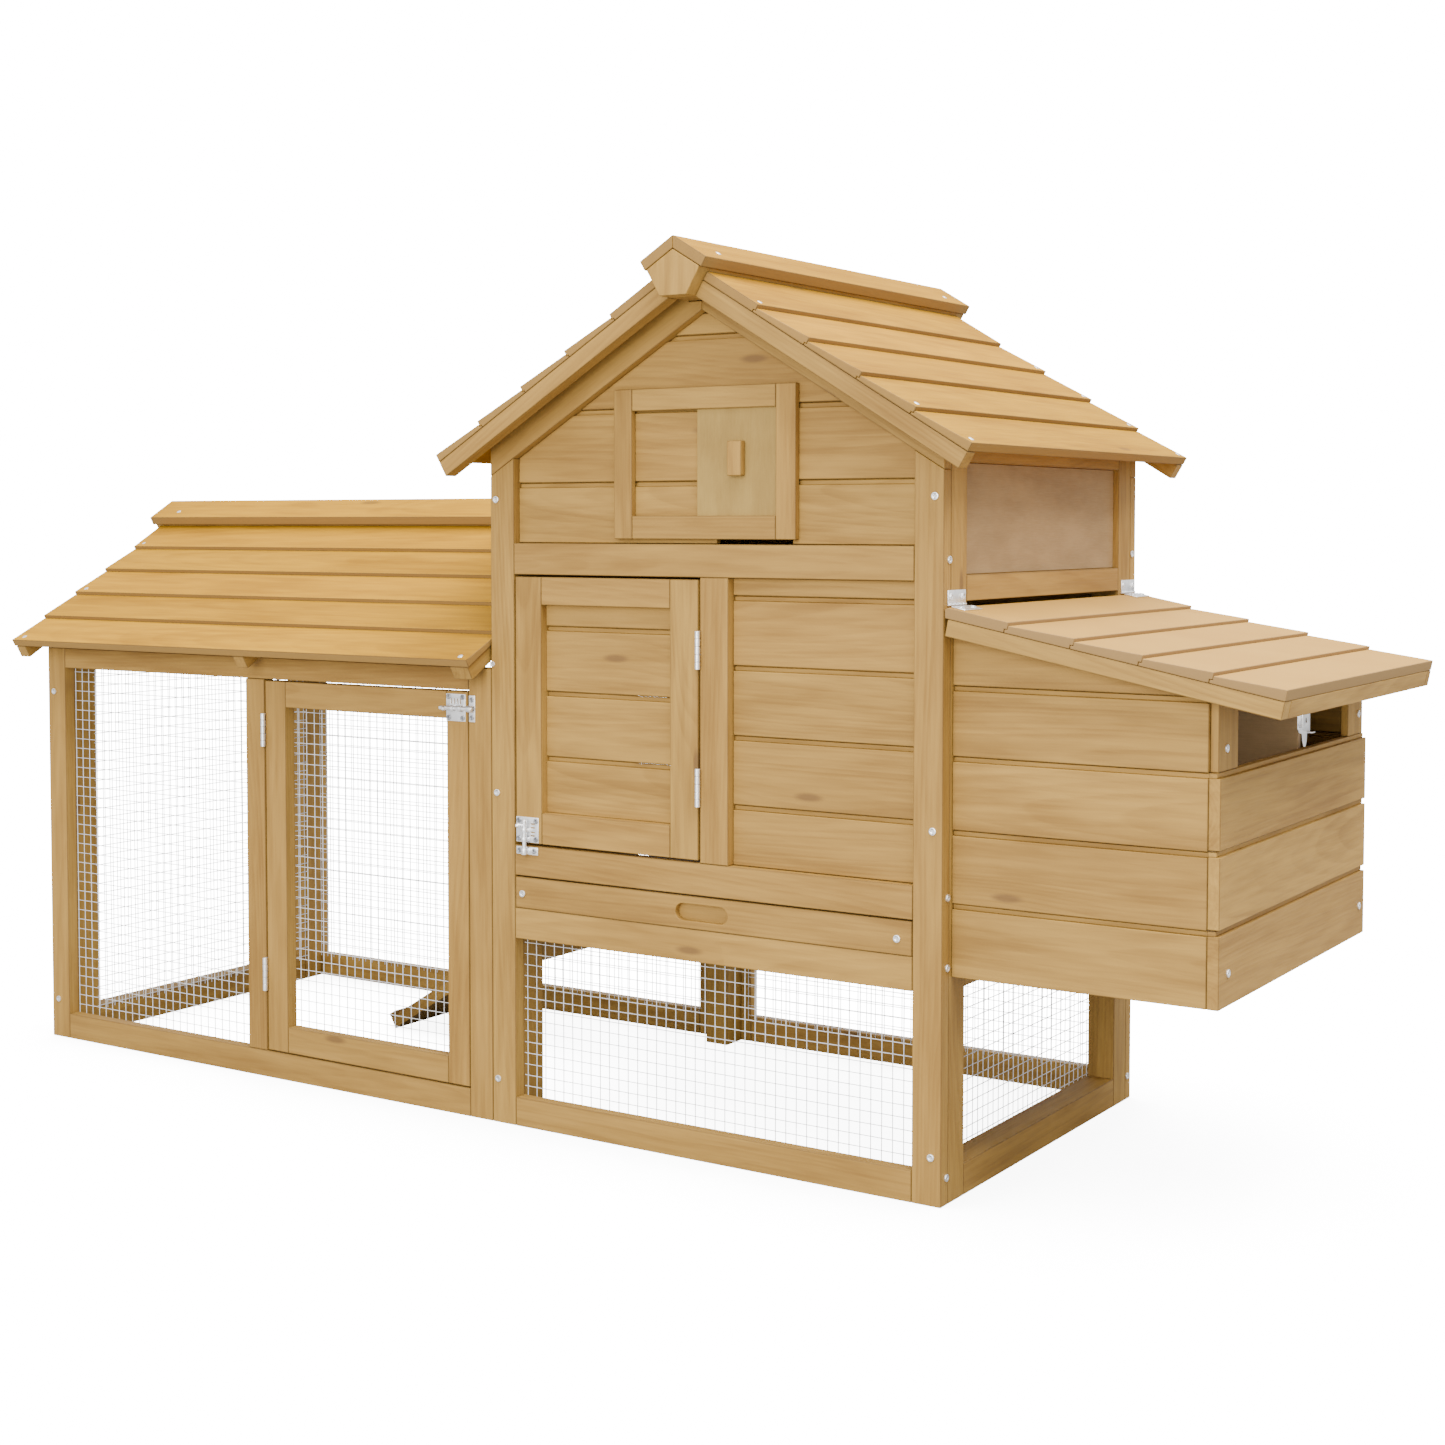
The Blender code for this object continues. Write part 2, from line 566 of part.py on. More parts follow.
def bolt(name, start, length, direction, grip, holder):
    """A round bolt that slides along its length, with a short grip standing out of it."""
    way = Vector(direction)
    middle = Vector(start) + way * length / 2
    body = rod(name, BOLT_RADIUS, length, middle, direction, ZINC, holder)
    grip_at = Vector(start) + way * grip - Vector((0.0, GRIP_LENGTH / 2, 0.0))
    handle = rod(name + "_grip", GRIP_RADIUS, GRIP_LENGTH, grip_at, (0, 1, 0), ZINC)
    combine(body, handle, "UNION")


def house_door():
    x = (HOUSE_DOOR[0][1] + MID_STILE[0]) / 2
    hinge = empty("house_door_axis", (x, HINGE_AXIS_Y, HOUSE_DOOR[1][0]), ORIGIN)
    loops = [rectangle(*HOUSE_DOOR), rectangle(*HOUSE_DOOR_OPENING)]
    outline("house_door_frame", loops, (0.0, FRAME), WOOD, holder=hinge)
    board_y = (BOARD_INSET, FRAME)
    board_x = grow(HOUSE_DOOR_OPENING[0], -GAP)
    board_z = grow(HOUSE_DOOR_OPENING[1], -GAP)
    box("house_door_boards", board_x, board_y, board_z, WOOD, hinge)
    hinge_barrels("house_door", x, HOUSE_HINGE_Z, hinge)
    slide = empty("house_bolt_axis", (HOUSE_BOLT[0], -BOLT_STAND_OFF, HOUSE_BOLT[1]), ORIGIN)
    bolt("house_bolt", slide.location, HOUSE_BOLT_LENGTH, (0, 0, 1), HOUSE_BOLT_GRIP, slide)


def run_door():
    x = (RUN_DOOR[0][0] + RUN_MID_STILE[1]) / 2
    hinge = empty("run_door_axis", (x, HINGE_AXIS_Y, RUN_DOOR[1][0]), ORIGIN)
    loops = [rectangle(*RUN_DOOR), rectangle(*RUN_DOOR_OPENING)]
    outline("run_door_frame", loops, (0.0, FRAME), WOOD, holder=hinge)
    mesh_x = grow(RUN_DOOR_OPENING[0], POST / 3)
    mesh_z = grow(RUN_DOOR_OPENING[1], POST / 3)
    box("run_door_mesh", mesh_x, (FRAME + GAP, FRAME + GAP + MESH), mesh_z, WIRE, hinge)
    hinge_barrels("run_door", x, RUN_HINGE_Z, hinge)
    slide = empty("run_bolt_axis", (RUN_BOLT[0], -BOLT_STAND_OFF, RUN_BOLT[1]), ORIGIN)
    bolt("run_bolt", slide.location, RUN_BOLT_LENGTH, (-1, 0, 0), RUN_BOLT_GRIP, slide)


def tray():
    slide = empty("tray_slide", (HOUSE_WIDTH / 2, 0.0, TRAY_LEVEL[0]), ORIGIN)
    across, up, length, height = TRAY_SLOT
    radius = height / 2
    slot = []
    for step in range(2 * SLOT_STEPS + 2):
        right = step <= SLOT_STEPS
        turn = math.pi * (step if right else step - 1) / SLOT_STEPS - math.pi / 2
        shift = length / 2 - radius if right else radius - length / 2
        slot.append((across + shift + radius * math.cos(turn), up + radius * math.sin(turn)))
    front = box("tray_front", TRAY_FRONT_X, (0.0, FRAME), TRAY_LEVEL, WOOD, slide)
    combine(front, as_mesh(outline("tray_slot", [slot], (-SLOT_DEPTH, SLOT_DEPTH), WOOD)), "DIFFERENCE")
    pan = box("tray_pan", *PAN, ZINC, slide)
    hollow_z = (PAN[2][0] + PAN_SHEET, PAN[2][1] + PAN_SHEET)
    hollow = box("tray_hollow", grow(PAN[0], -PAN_SHEET), grow(PAN[1], -PAN_SHEET), hollow_z, ZINC)
    combine(pan, hollow, "DIFFERENCE")
    clear = BOARD_INSET + BOARD + GAP
    runner_y = (clear, HOUSE_DEPTH - clear)
    runner_z = (LOWER_RAIL[1] - POST / 2 + GAP, PAN[2][0] - GAP)
    left_x = (SIDE_FRAME + GAP, PAN[0][0] + POST / 2)
    right_x = (PAN[0][1] - POST / 2, HOUSE_WIDTH - SIDE_FRAME - 2 * GAP)
    box("tray_runner_left", left_x, runner_y, runner_z, WOOD)
    box("tray_runner_right", right_x, runner_y, runner_z, WOOD)


def nest_box():
    underside = LID_BOARD + 2 * GAP
    slope = -LID_ANGLE
    top_left = on_slope(LID_TOP, slope, 0.0, -underside)
    tangent = math.tan(slope)
    end_x = NEST_X[1] - NEST_WALL - GAP

    def wall_top(x):
        return top_left[1] + (x - top_left[0]) * tangent

    wall = [(NEST_X[0], NEST_BOTTOM), (end_x, NEST_BOTTOM)]
    wall += [(end_x, wall_top(end_x)), (NEST_X[0], wall_top(NEST_X[0]))]
    outline("nest_front_wall", [wall], (NEST_Y[0], NEST_Y[0] + NEST_WALL), WOOD)
    outline("nest_back_wall", [wall], (NEST_Y[1] - NEST_WALL, NEST_Y[1]), WOOD)
    high = wall_top(NEST_X[1]) - LID_FRAME_DEPTH - 2 * GAP
    end = [(NEST_Y[0], NEST_BOTTOM), (NEST_Y[1], NEST_BOTTOM), (NEST_Y[1], high)]
    end += [(NEST_Y[1] - NEST_STILE, high), (NEST_Y[1] - NEST_STILE, NEST_END_TOP)]
    end += [(NEST_Y[0] + NEST_STILE, NEST_END_TOP), (NEST_Y[0] + NEST_STILE, high), (NEST_Y[0], high)]
    outline("nest_end_wall", [end], (NEST_X[1] - NEST_WALL, NEST_X[1]), WOOD, "side")
    floor_y = (NEST_Y[0] + NEST_WALL + GAP, NEST_Y[1] - NEST_WALL - GAP)
    box("nest_floor", (NEST_X[0], end_x), floor_y, (NEST_BOTTOM, NEST_BOTTOM + NEST_FLOOR), WOOD)

    hinge = empty("nest_lid_axis", (LID_TOP[0], 0.0, LID_TOP[1] + LID_HINGE_RISE), ORIGIN)
    section = lapped_section(LID_LENGTH / ROOF_BOARDS, ROOF_BOARDS, LID_LENGTH, LID_BOARD, LID_STEP)
    boards = [on_slope(LID_TOP, slope, LID_LENGTH - along, height) for along, height in section]
    boards[-1] = (LID_TOP[0], boards[-1][1])
    outline("nest_lid_boards", [boards], LID_Y, LID_FELT, holder=hinge)
    inner_y = (NEST_Y[0] - 2 * GAP, NEST_Y[1] + 2 * GAP)
    near = (LID_BOARD + LID_FRAME_DEPTH + GAP) * math.tan(LID_ANGLE) + GAP
    ring = [(near, LID_Y[0]), (LID_LENGTH, LID_Y[0]), (LID_LENGTH, LID_Y[1]), (near, LID_Y[1])]
    ring += [(near, inner_y[1]), (LID_RIB[0], inner_y[1]), (LID_RIB[0], inner_y[0]), (near, inner_y[0])]
    loops = [ring, rectangle((LID_RIB[1], LID_LENGTH - LID_FRAME_WIDTH), inner_y)]
    frame = outline("nest_lid_frame", loops, (0.0, LID_FRAME_DEPTH), WOOD, holder=hinge)
    frame.rotation_euler = (0.0, LID_ANGLE, 0.0)
    height = -LID_BOARD - GAP - LID_FRAME_DEPTH / 2
    spot = on_slope(LID_TOP, slope, 0.0, height)
    frame.location = Vector((spot[0], 0.0, spot[1])) - hinge.location
    nest_latch()


def nest_latch():
    """A flat hasp that hangs from the lid's rib, with a narrow tongue."""
    pivot = empty("nest_latch_axis", (LATCH_X, LATCH_Y, LATCH_TOP), ORIGIN)
    half = LATCH_WIDTH / 2
    tongue = LATCH_WIDTH / 4
    shoulder = LATCH_TOP - LATCH_PLATE
    tip = LATCH_TOP - LATCH_LENGTH
    shape = [(half, LATCH_TOP), (-half, LATCH_TOP), (-half, shoulder), (-tongue, shoulder)]
    shape += [(-tongue / 2, tip), (tongue / 2, tip), (tongue, shoulder), (half, shoulder)]
    shape = [(LATCH_Y + across, up) for across, up in shape]
    sheet = (LATCH_X - LATCH_SHEET / 2, LATCH_X + LATCH_SHEET / 2)
    outline("nest_latch", [shape], sheet, ZINC, "side", pivot)


def main():
    underside = house_front()
    house_sides(underside)
    house_back(underside)
    house_mesh()
    house_roof()
    run_frames()
    run_meshes()
    run_roof()
    ramp()
    window()
    house_door()
    run_door()
    tray()
    nest_box()


clear_scene()
COOP = new_collection("chicken_coop")
CUTTERS = new_collection("cutters")
ORIGIN = empty("coop_origin", (-BASE_MIDDLE[0], -BASE_MIDDLE[1], -BASE_MIDDLE[2]))
main()
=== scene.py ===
"""The looks of a wooden chicken coop with a run and a nest box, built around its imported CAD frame.

Shapes are laid out in metres from the house's front left bottom corner: X right, Y back and Z up.
"""

import math
import random
import zlib

import bmesh
import bpy
from mathutils import Matrix, Vector
from mathutils.geometry import tessellate_polygon

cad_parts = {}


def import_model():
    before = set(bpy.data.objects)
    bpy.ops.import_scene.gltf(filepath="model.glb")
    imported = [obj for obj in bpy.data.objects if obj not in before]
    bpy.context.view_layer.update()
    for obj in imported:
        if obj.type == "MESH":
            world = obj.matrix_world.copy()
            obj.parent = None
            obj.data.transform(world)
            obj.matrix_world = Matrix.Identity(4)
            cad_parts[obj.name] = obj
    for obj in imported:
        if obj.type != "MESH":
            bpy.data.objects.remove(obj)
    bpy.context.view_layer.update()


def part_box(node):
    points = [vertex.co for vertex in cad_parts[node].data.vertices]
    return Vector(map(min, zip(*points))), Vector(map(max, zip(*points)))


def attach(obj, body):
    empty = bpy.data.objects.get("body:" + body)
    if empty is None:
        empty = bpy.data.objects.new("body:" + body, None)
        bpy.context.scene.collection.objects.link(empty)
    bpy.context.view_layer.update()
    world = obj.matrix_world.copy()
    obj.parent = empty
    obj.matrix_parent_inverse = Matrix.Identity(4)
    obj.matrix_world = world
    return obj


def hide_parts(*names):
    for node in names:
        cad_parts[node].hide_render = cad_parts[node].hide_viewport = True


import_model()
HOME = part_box("house_front_post_left")[0]

# Timber
EDGE = 0.0009
GAP = 0.0003
REBATE_TALL = 0.005
REBATE_DEEP = 0.0035
HOUSE_SLOPE = math.radians(31.0)
RUN_SLOPE = math.radians(29.9)
LID_SLOPE = math.radians(11.1)
RAKE_DEPTH = 0.036
ROOF_BOARDS = 5
ROOF_STEP = 0.0042
ROOF_BOARD = 0.010
CAP_BOARD = 0.012
TONGUE = 0.003
SHARP = math.radians(25)
SMOOTH_UP_TO = math.radians(38)

# Heights of the joints between the boards of each wall
GABLE_LINES = (0.7403, 0.8208, 0.8975)
WALL_LINES = (0.3922, 0.4669, 0.5422, 0.6172)
DOOR_LINES = (0.4294, 0.5038, 0.5780)
NEST_SIDE_LINES = (0.3082, 0.3835, 0.4587, 0.5306)
NEST_END_LINES = (0.3092, 0.3848)
BOARD_HEIGHT = 0.075
BOARD_GAP = 0.0009

AXIS_X, AXIS_Y, AXIS_Z = Vector((1, 0, 0)), Vector((0, 1, 0)), Vector((0, 0, 1))
FACINGS = {
    "front": (AXIS_X, AXIS_Z, AXIS_Y),
    "side": (AXIS_Y, AXIS_Z, AXIS_X),
    "level": (AXIS_X, AXIS_Y, AXIS_Z),
}


def limits(node):
    """A CAD node's limits along X, Y and Z, from the house's corner."""
    low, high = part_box(node)
    return tuple(zip(low - HOME, high - HOME))


# ---------------------------------------------------------------- materials


# How far apart the patterns of two boards lie, the rings' spacing, and the share of places without a knot
BOARD_SPREAD = (37.0, 53.0, 71.0)
RING_SPACING = 0.0042
NO_KNOT = 0.62
# The distances from a cut face over which its own colour fades
SAWN = (0.0009, 0.0003)
BOARD_CORE = (0.0012, 0.0004)


class Shader:
    """A material whose nodes are made and joined by short calls."""

    def __init__(self, name):
        self.material = bpy.data.materials.new(name)
        self.material.use_nodes = True
        self.tree = self.material.node_tree
        self.surface = self.tree.nodes["Principled BSDF"]

    def put(self, socket, value):
        if isinstance(value, bpy.types.NodeSocket):
            self.tree.links.new(value, socket)
        else:
            socket.default_value = value

    def node(self, kind, inputs=None, **settings):
        made = self.tree.nodes.new("ShaderNode" + kind)
        for key, value in settings.items():
            setattr(made, key, value)
        for key, value in (inputs or {}).items():
            self.put(made.inputs[key], value)
        return made

    def attribute(self, name):
        return self.node("Attribute", attribute_name=name).outputs["Vector"]

    def math(self, operation, *values):
        return self.node("Math", dict(enumerate(values)), operation=operation).outputs[0]

    def times(self, first, second, plus=None):
        """One value times another, and plus a third where there is one."""
        if plus is None:
            return self.math("MULTIPLY", first, second)
        return self.math("MULTIPLY_ADD", first, second, plus)

    def vector(self, operation, *values):
        return self.node("VectorMath", dict(enumerate(values)), operation=operation).outputs[0]

    def length(self, value):
        return self.node("VectorMath", {0: value}, operation="LENGTH").outputs["Value"]

    def board(self):
        """A point's place in its own board, and an offset that sets each board's pattern apart."""
        return self.attribute("grain"), self.vector("MULTIPLY", self.attribute("board"), BOARD_SPREAD)

    def noise(self, place, scale, offset=(0.0, 0.0, 0.0), detail=2.0, roughness=0.5):
        """Noise over a place that is scaled along each axis."""
        spot = self.vector("MULTIPLY_ADD", place, scale, offset)
        inputs = {"Vector": spot, "Scale": 1.0, "Detail": detail, "Roughness": roughness}
        return self.node("TexNoise", inputs).outputs

    def rise(self, value, start, stop, low=0.0, high=1.0):
        """Smoothly from low to high as the value goes from start to stop."""
        inputs = {"Value": value, "From Min": start, "From Max": stop, "To Min": low, "To Max": high}
        return self.node("MapRange", inputs, interpolation_type="SMOOTHSTEP").outputs[0]

    def mix(self, factor, first, second, blend="MIX"):
        """One colour over another. A plain colour is given by its red, green and blue."""
        colours = [
            colour if isinstance(colour, bpy.types.NodeSocket) else (*colour, 1.0)
            for colour in (first, second)
        ]
        inputs = {0: factor, 6: colours[0], 7: colours[1]}
        return self.node("Mix", inputs, data_type="RGBA", blend_type=blend).outputs[2]

    def split(self, value):
        return self.node("SeparateXYZ", {0: value}).outputs

    def join(self, x, y, z):
        return self.node("CombineXYZ", {0: x, 1: y, 2: z}).outputs[0]

    def bump(self, height, strength, distance):
        inputs = {"Height": height, "Strength": strength, "Distance": distance}
        self.put(self.surface.inputs["Normal"], self.node("Bump", inputs).outputs[0])

    def finish(self, colour, roughness, gloss=0.5):
        self.put(self.surface.inputs["Base Color"], colour)
        self.put(self.surface.inputs["Roughness"], roughness)
        self.surface.inputs["Specular IOR Level"].default_value = gloss
        return self.material


def inward(shader, place):
    """A point's distances from its board's ends, sides and faces."""
    half = shader.attribute("half")
    return shader.split(shader.vector("SUBTRACT", half, shader.vector("ABSOLUTE", place)))


def near_edge_mask(shader, place, reach):
    """Stronger near a board's long edges and ends: from the second smallest distance to its faces."""
    x, y, z = inward(shader, place)
    low, high = shader.math("MINIMUM", x, y), shader.math("MAXIMUM", x, y)
    second = shader.math("MAXIMUM", low, shader.math("MINIMUM", high, z))
    return shader.rise(second, reach, 0.0)


def wood(name, light, dark, knot, edge, cut=None, gloss=0.28):
    """Planed softwood: growth rings cut along the board, fine fibres, soft patches and a few knots.

    It reads each board's own place, with X along the grain, and three random numbers for the board.
    Edge is a painted shade along its corners, standing in for the shadow in its joints, and cut colours the
    sawn faces at its ends and sides.
    """
    shader = Shader(name)
    place, spread = shader.board()
    first, second, third = shader.split(shader.attribute("board"))
    drift = shader.noise(place, (2.2, 11.0, 11.0), spread)["Color"]
    drift = shader.vector("SUBTRACT", drift, (0.5, 0.5, 0.5))
    bent = shader.vector("MULTIPLY_ADD", drift, (0.0, 0.016, 0.016), place)

    knot_place = shader.vector("MULTIPLY_ADD", place, (2.4, 9.0, 0.0), spread)
    cells = shader.node("TexVoronoi", {"Vector": knot_place, "Scale": 1.0}, voronoi_dimensions="2D")
    chosen = shader.math("GREATER_THAN", shader.split(cells.outputs["Color"])[0], NO_KNOT)
    away = cells.outputs["Distance"]
    core = shader.times(shader.rise(away, 0.055, 0.02), chosen)
    swirl = shader.times(shader.rise(away, 0.32, 0.03), chosen)

    along, across, deep = shader.split(bent)
    tilt = shader.times(along, shader.times(third, 0.14, -0.07))
    side = shader.math("ADD", across, shader.times(first, 0.09, -0.045))
    depth = shader.math("ADD", deep, shader.times(second, 0.06, 0.016))
    pith = shader.length(shader.join(0.0, side, shader.math("ADD", depth, tilt)))
    rings = shader.times(pith, 1.0 / RING_SPACING, shader.times(swirl, 1.6))
    part = shader.math("FRACT", rings)
    late = shader.times(shader.rise(part, 0.15, 0.85), shader.rise(part, 1.0, 0.88))
    year = shader.math("ADD", shader.math("FLOOR", rings), shader.times(first, 91.0))
    strength = shader.node("TexWhiteNoise", {"W": year}, noise_dimensions="1D").outputs["Value"]
    late = shader.times(late, shader.times(strength, 0.8, 0.2))

    fibre = shader.noise(bent, (20.0, 520.0, 520.0), spread, 3.0, 0.6)[0]
    streak = shader.noise(bent, (8.0, 105.0, 105.0), spread, 3.0, 0.55)[0]
    patch = shader.noise(bent, (3.2, 15.0, 15.0), spread, 3.0, 0.6)[0]
    grain = shader.times(late, 0.15)
    grain = shader.times(fibre, 0.26, grain)
    grain = shader.times(streak, 0.85, grain)
    grain = shader.times(shader.rise(patch, 0.40, 0.72), 0.30, grain)
    colour = shader.mix(shader.rise(grain, 0.25, 1.15), light, dark)
    warm = (dark[0] * 1.12, dark[1] * 0.92, dark[2] * 0.9)
    colour = shader.mix(shader.times(third, 0.16), colour, warm)
    if cut:
        ends, sides, _ = inward(shader, place)
        sawn = shader.rise(shader.math("MINIMUM", ends, sides), *SAWN)
        colour = shader.mix(shader.times(sawn, 0.8), colour, cut)
    tone = shader.times(second, 0.12, 0.94)
    colour = shader.mix(1.0, colour, shader.join(tone, tone, tone), "MULTIPLY")
    colour = shader.mix(shader.times(swirl, 0.22), colour, dark)
    colour = shader.mix(shader.times(core, 0.7), colour, knot)
    # Painted shade: the edge colour darkens each board along its corners and seams, where shadow falls in
    # the joints.
    colour = shader.mix(shader.times(near_edge_mask(shader, place, 0.0015), 0.75), colour, edge)
    shader.bump(shader.times(late, 0.5, shader.times(fibre, 0.5)), 0.22, 0.0005)
    return shader.finish(colour, shader.times(fibre, 0.22, 0.52), gloss)


def plywood(name, light, dark):
    """Rotary-cut veneer: wide wandering figure, short dark pores and a cloudy stain."""
    shader = Shader(name)
    place, spread = shader.board()
    hills = shader.noise(place, (4.0, 15.0, 15.0), spread, 3.0)[0]
    figure = shader.math("PINGPONG", shader.times(hills, 9.0), 1.0)
    cloud = shader.noise(place, (14.0, 22.0, 22.0), spread, 5.0, 0.65)[0]
    pores = shader.noise(place, (55.0, 700.0, 700.0), spread, 2.0, 0.6)[0]
    value = shader.times(cloud, 0.9, shader.times(figure, 0.25))
    value = shader.times(pores, 0.35, value)
    colour = shader.mix(shader.rise(value, 0.35, 1.15), light, dark)
    colour = shader.mix(shader.times(near_edge_mask(shader, place, 0.002), 0.4), colour, light)
    shader.bump(pores, 0.2, 0.0004)
    return shader.finish(colour, shader.times(pores, 0.2, 0.55), 0.28)


def coated_board(name, light, dark, core):
    """A plain coated face with a fine speckle, and a greyer pressed core on its cut edges."""
    shader = Shader(name)
    place, spread = shader.board()
    speck = shader.noise(place, (900.0, 900.0, 900.0), spread, 2.0, 0.7)[0]
    cloud = shader.noise(place, (9.0, 9.0, 9.0), spread, 3.0)[0]
    value = shader.times(speck, 0.35, cloud)
    colour = shader.mix(shader.rise(value, 0.35, 1.0), light, dark)
    ends, sides, _ = inward(shader, place)
    bare = shader.math("MAXIMUM", shader.rise(ends, *BOARD_CORE), shader.rise(sides, *BOARD_CORE))
    colour = shader.mix(bare, colour, core)
    shader.bump(speck, 0.12, 0.0003)
    return shader.finish(colour, shader.times(speck, 0.15, 0.62), 0.15)


def metal(name, bright, dull, rough, spangle=140.0, metallic=1.0):
    """Zinc-coated steel: faint crystal patches, small scratches and a slightly uneven sheen."""
    shader = Shader(name)
    place = shader.node("TexCoord").outputs["Object"]
    crystals = shader.node("TexVoronoi", {"Vector": place, "Scale": spangle})
    patch = shader.split(crystals.outputs["Color"])[0]
    haze = shader.noise(place, (60.0, 60.0, 60.0), detail=4.0, roughness=0.6)[0]
    value = shader.times(patch, 0.45, shader.times(haze, 0.8))
    colour = shader.mix(shader.rise(value, 0.25, 1.1), bright, dull)
    shader.bump(shader.noise(place, (2600.0, 260.0, 900.0))[0], 0.08, 0.0002)
    shader.surface.inputs["Metallic"].default_value = metallic
    return shader.finish(colour, shader.times(haze, 0.18, rough))


# The edge colours below are painted shade along the boards' corners and seams.
PINE = wood(
    "pine", (0.390, 0.226, 0.048), (0.222, 0.116, 0.021), knot=(0.12, 0.06, 0.02),
    edge=(0.105, 0.058, 0.014))
ROOF_PINE = wood(
    "roof_pine", (0.405, 0.204, 0.009), (0.245, 0.114, 0.006), knot=(0.14, 0.07, 0.015),
    edge=(0.085, 0.052, 0.020), cut=(0.25, 0.150, 0.052), gloss=0.07)
PLYWOOD = plywood("plywood", (0.320, 0.205, 0.092), (0.235, 0.146, 0.062))
SHUTTER = plywood("shutter_plywood", (0.345, 0.220, 0.055), (0.255, 0.155, 0.036))
LID_BOARD = coated_board("lid_board", (0.420, 0.230, 0.045), (0.375, 0.198, 0.038), (0.26, 0.155, 0.055))
WIRE = metal("galvanised_wire", (0.72, 0.72, 0.72), (0.60, 0.60, 0.61), 0.40, metallic=0.2)
ZINC = metal("zinc_plate", (0.96, 0.96, 0.96), (0.80, 0.81, 0.82), 0.26, metallic=0.9)
# Darker zinc for the bolts' small screws: painted shade for the dark rims and recesses of their heads.
SHADED_ZINC = metal("shaded_zinc", (0.45, 0.45, 0.46), (0.25, 0.25, 0.26), 0.30, metallic=0.9)
PAN_METAL = metal("pan_zinc", (0.70, 0.71, 0.72), (0.45, 0.46, 0.48), 0.35, spangle=45.0)


# ---------------------------------------------------------------- pieces


def cut_out(loop, span, facing="front", holes=(), bevel=EDGE):
    """A flat shape with an outline and holes, given a depth and rounded edges."""
    across, up, through = FACINGS[facing]
    shape = bmesh.new()
    loops = [loop, *holes]
    rings = []
    for depth in span:
        spots = [[across * a + up * b + through * depth for a, b in outline] for outline in loops]
        rings.append([[shape.verts.new(spot) for spot in ring] for ring in spots])
    for near, far in zip(*rings):
        for index, corner in enumerate(near):
            after = (index + 1) % len(near)
            shape.faces.new((corner, near[after], far[after], far[index]))
    for ring in rings:
        flat = [corner for outline in ring for corner in outline]
        if holes:
            flat_loops = [[(a, b, 0.0) for a, b in outline] for outline in loops]
            for triangle in tessellate_polygon(flat_loops):
                shape.faces.new([flat[index] for index in triangle])
        else:
            shape.faces.new(flat)
    bmesh.ops.recalc_face_normals(shape, faces=shape.faces[:])
    if bevel:
        sharp = [edge for edge in shape.edges if edge.calc_face_angle(0.0) > SHARP]
        bmesh.ops.bevel(shape, geom=sharp, offset=bevel, segments=2, profile=0.5, affect="EDGES")
    return shape


class Piece:
    """Shapes gathered into one object, which rides on a body and may stand for CAD nodes."""

    def __init__(self, name, material, slot, body="coop", nodes=()):
        self.name, self.material, self.slot, self.body, self.nodes = name, material, slot, body, nodes
        self.points = []
        self.faces = []

    def gather(self, shape, matrix=None):
        """Add a shape, and free it."""
        if matrix is not None:
            bmesh.ops.transform(shape, matrix=matrix, verts=shape.verts[:])
        start = len(self.points)
        shape.verts.index_update()
        self.points += [point.co.copy() for point in shape.verts]
        self.faces += [[start + corner.index for corner in face.verts] for face in shape.faces]
        shape.free()

    def smooth(self, mesh):
        mesh.shade_smooth()
        mesh.set_sharp_from_angle(angle=SMOOTH_UP_TO)

    def finish(self):
        mesh = bpy.data.meshes.new(self.name)
        mesh.from_pydata(self.points, [], self.faces)
        self.smooth(mesh)
        mesh.materials.append(self.material)
        made = bpy.data.objects.new(self.name, mesh)
        bpy.context.scene.collection.objects.link(made)
        made.location = HOME
        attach(made, self.body)
        if self.nodes:
            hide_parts(*self.nodes)
        return made


class Timber(Piece):
    """Boards gathered into one object. Every point keeps its place in its own board, for the grain."""

    def __init__(self, name, material=PINE, slot="pine", body="coop", nodes=()):
        super().__init__(name, material, slot, body, nodes)
        self.marks = {"grain": [], "half": [], "board": []}
        self.random = random.Random(zlib.crc32(name.encode()))
        self.board = None

    def slab(self, loop, span, facing="front", grain=None, face=None, holes=(), bevel=EDGE, same=False):
        """A board cut to an outline, with its wide side towards face.

        With same, it belongs to the board that came before it.
        """
        if not same:
            self.begin(loop, span, facing, grain, face)
        shape = cut_out(loop, span, facing, holes, bevel)
        turn, middle, half, chance = self.board
        for point in shape.verts:
            self.marks["grain"].append(turn @ point.co - middle)
            self.marks["half"].append(half)
            self.marks["board"].append(chance)
        self.gather(shape)

    def begin(self, loop, span, facing, grain=None, face=None):
        """Start a board: its grain runs along X in its own frame, and its size and chances are its own."""
        across, up, through = FACINGS[facing]
        along = (grain or across).normalized()
        deep = face or through
        if abs(deep.dot(along)) > 0.9:
            deep = along.orthogonal().normalized()
        turn = Matrix((along, deep.cross(along), deep))
        spots = [turn @ (across * a + up * b + through * depth) for a, b in loop for depth in span]
        low = Vector([min(spot[i] for spot in spots) for i in range(3)])
        high = Vector([max(spot[i] for spot in spots) for i in range(3)])
        chance = Vector([self.random.random() for _ in range(3)])
        self.board = (turn, (low + high) / 2, (high - low) / 2, chance)

    def plank(self, across, up, through, facing="front", way="across", **settings):
        """A rectangular board, with its grain across, up or through."""
        vectors = dict(zip(("across", "up", "through"), FACINGS[facing]))
        self.slab(rectangle(across, up), through, facing, vectors[way], **settings)

    def smooth(self, mesh):
        mesh.shade_smooth()
        for name, values in self.marks.items():
            layer = mesh.attributes.new(name, "FLOAT_VECTOR", "POINT")
            layer.data.foreach_set("vector", [number for value in values for number in value])

    def finish(self):
        made = super().finish()
        made.modifiers.new("even_normals", "WEIGHTED_NORMAL")
        return made


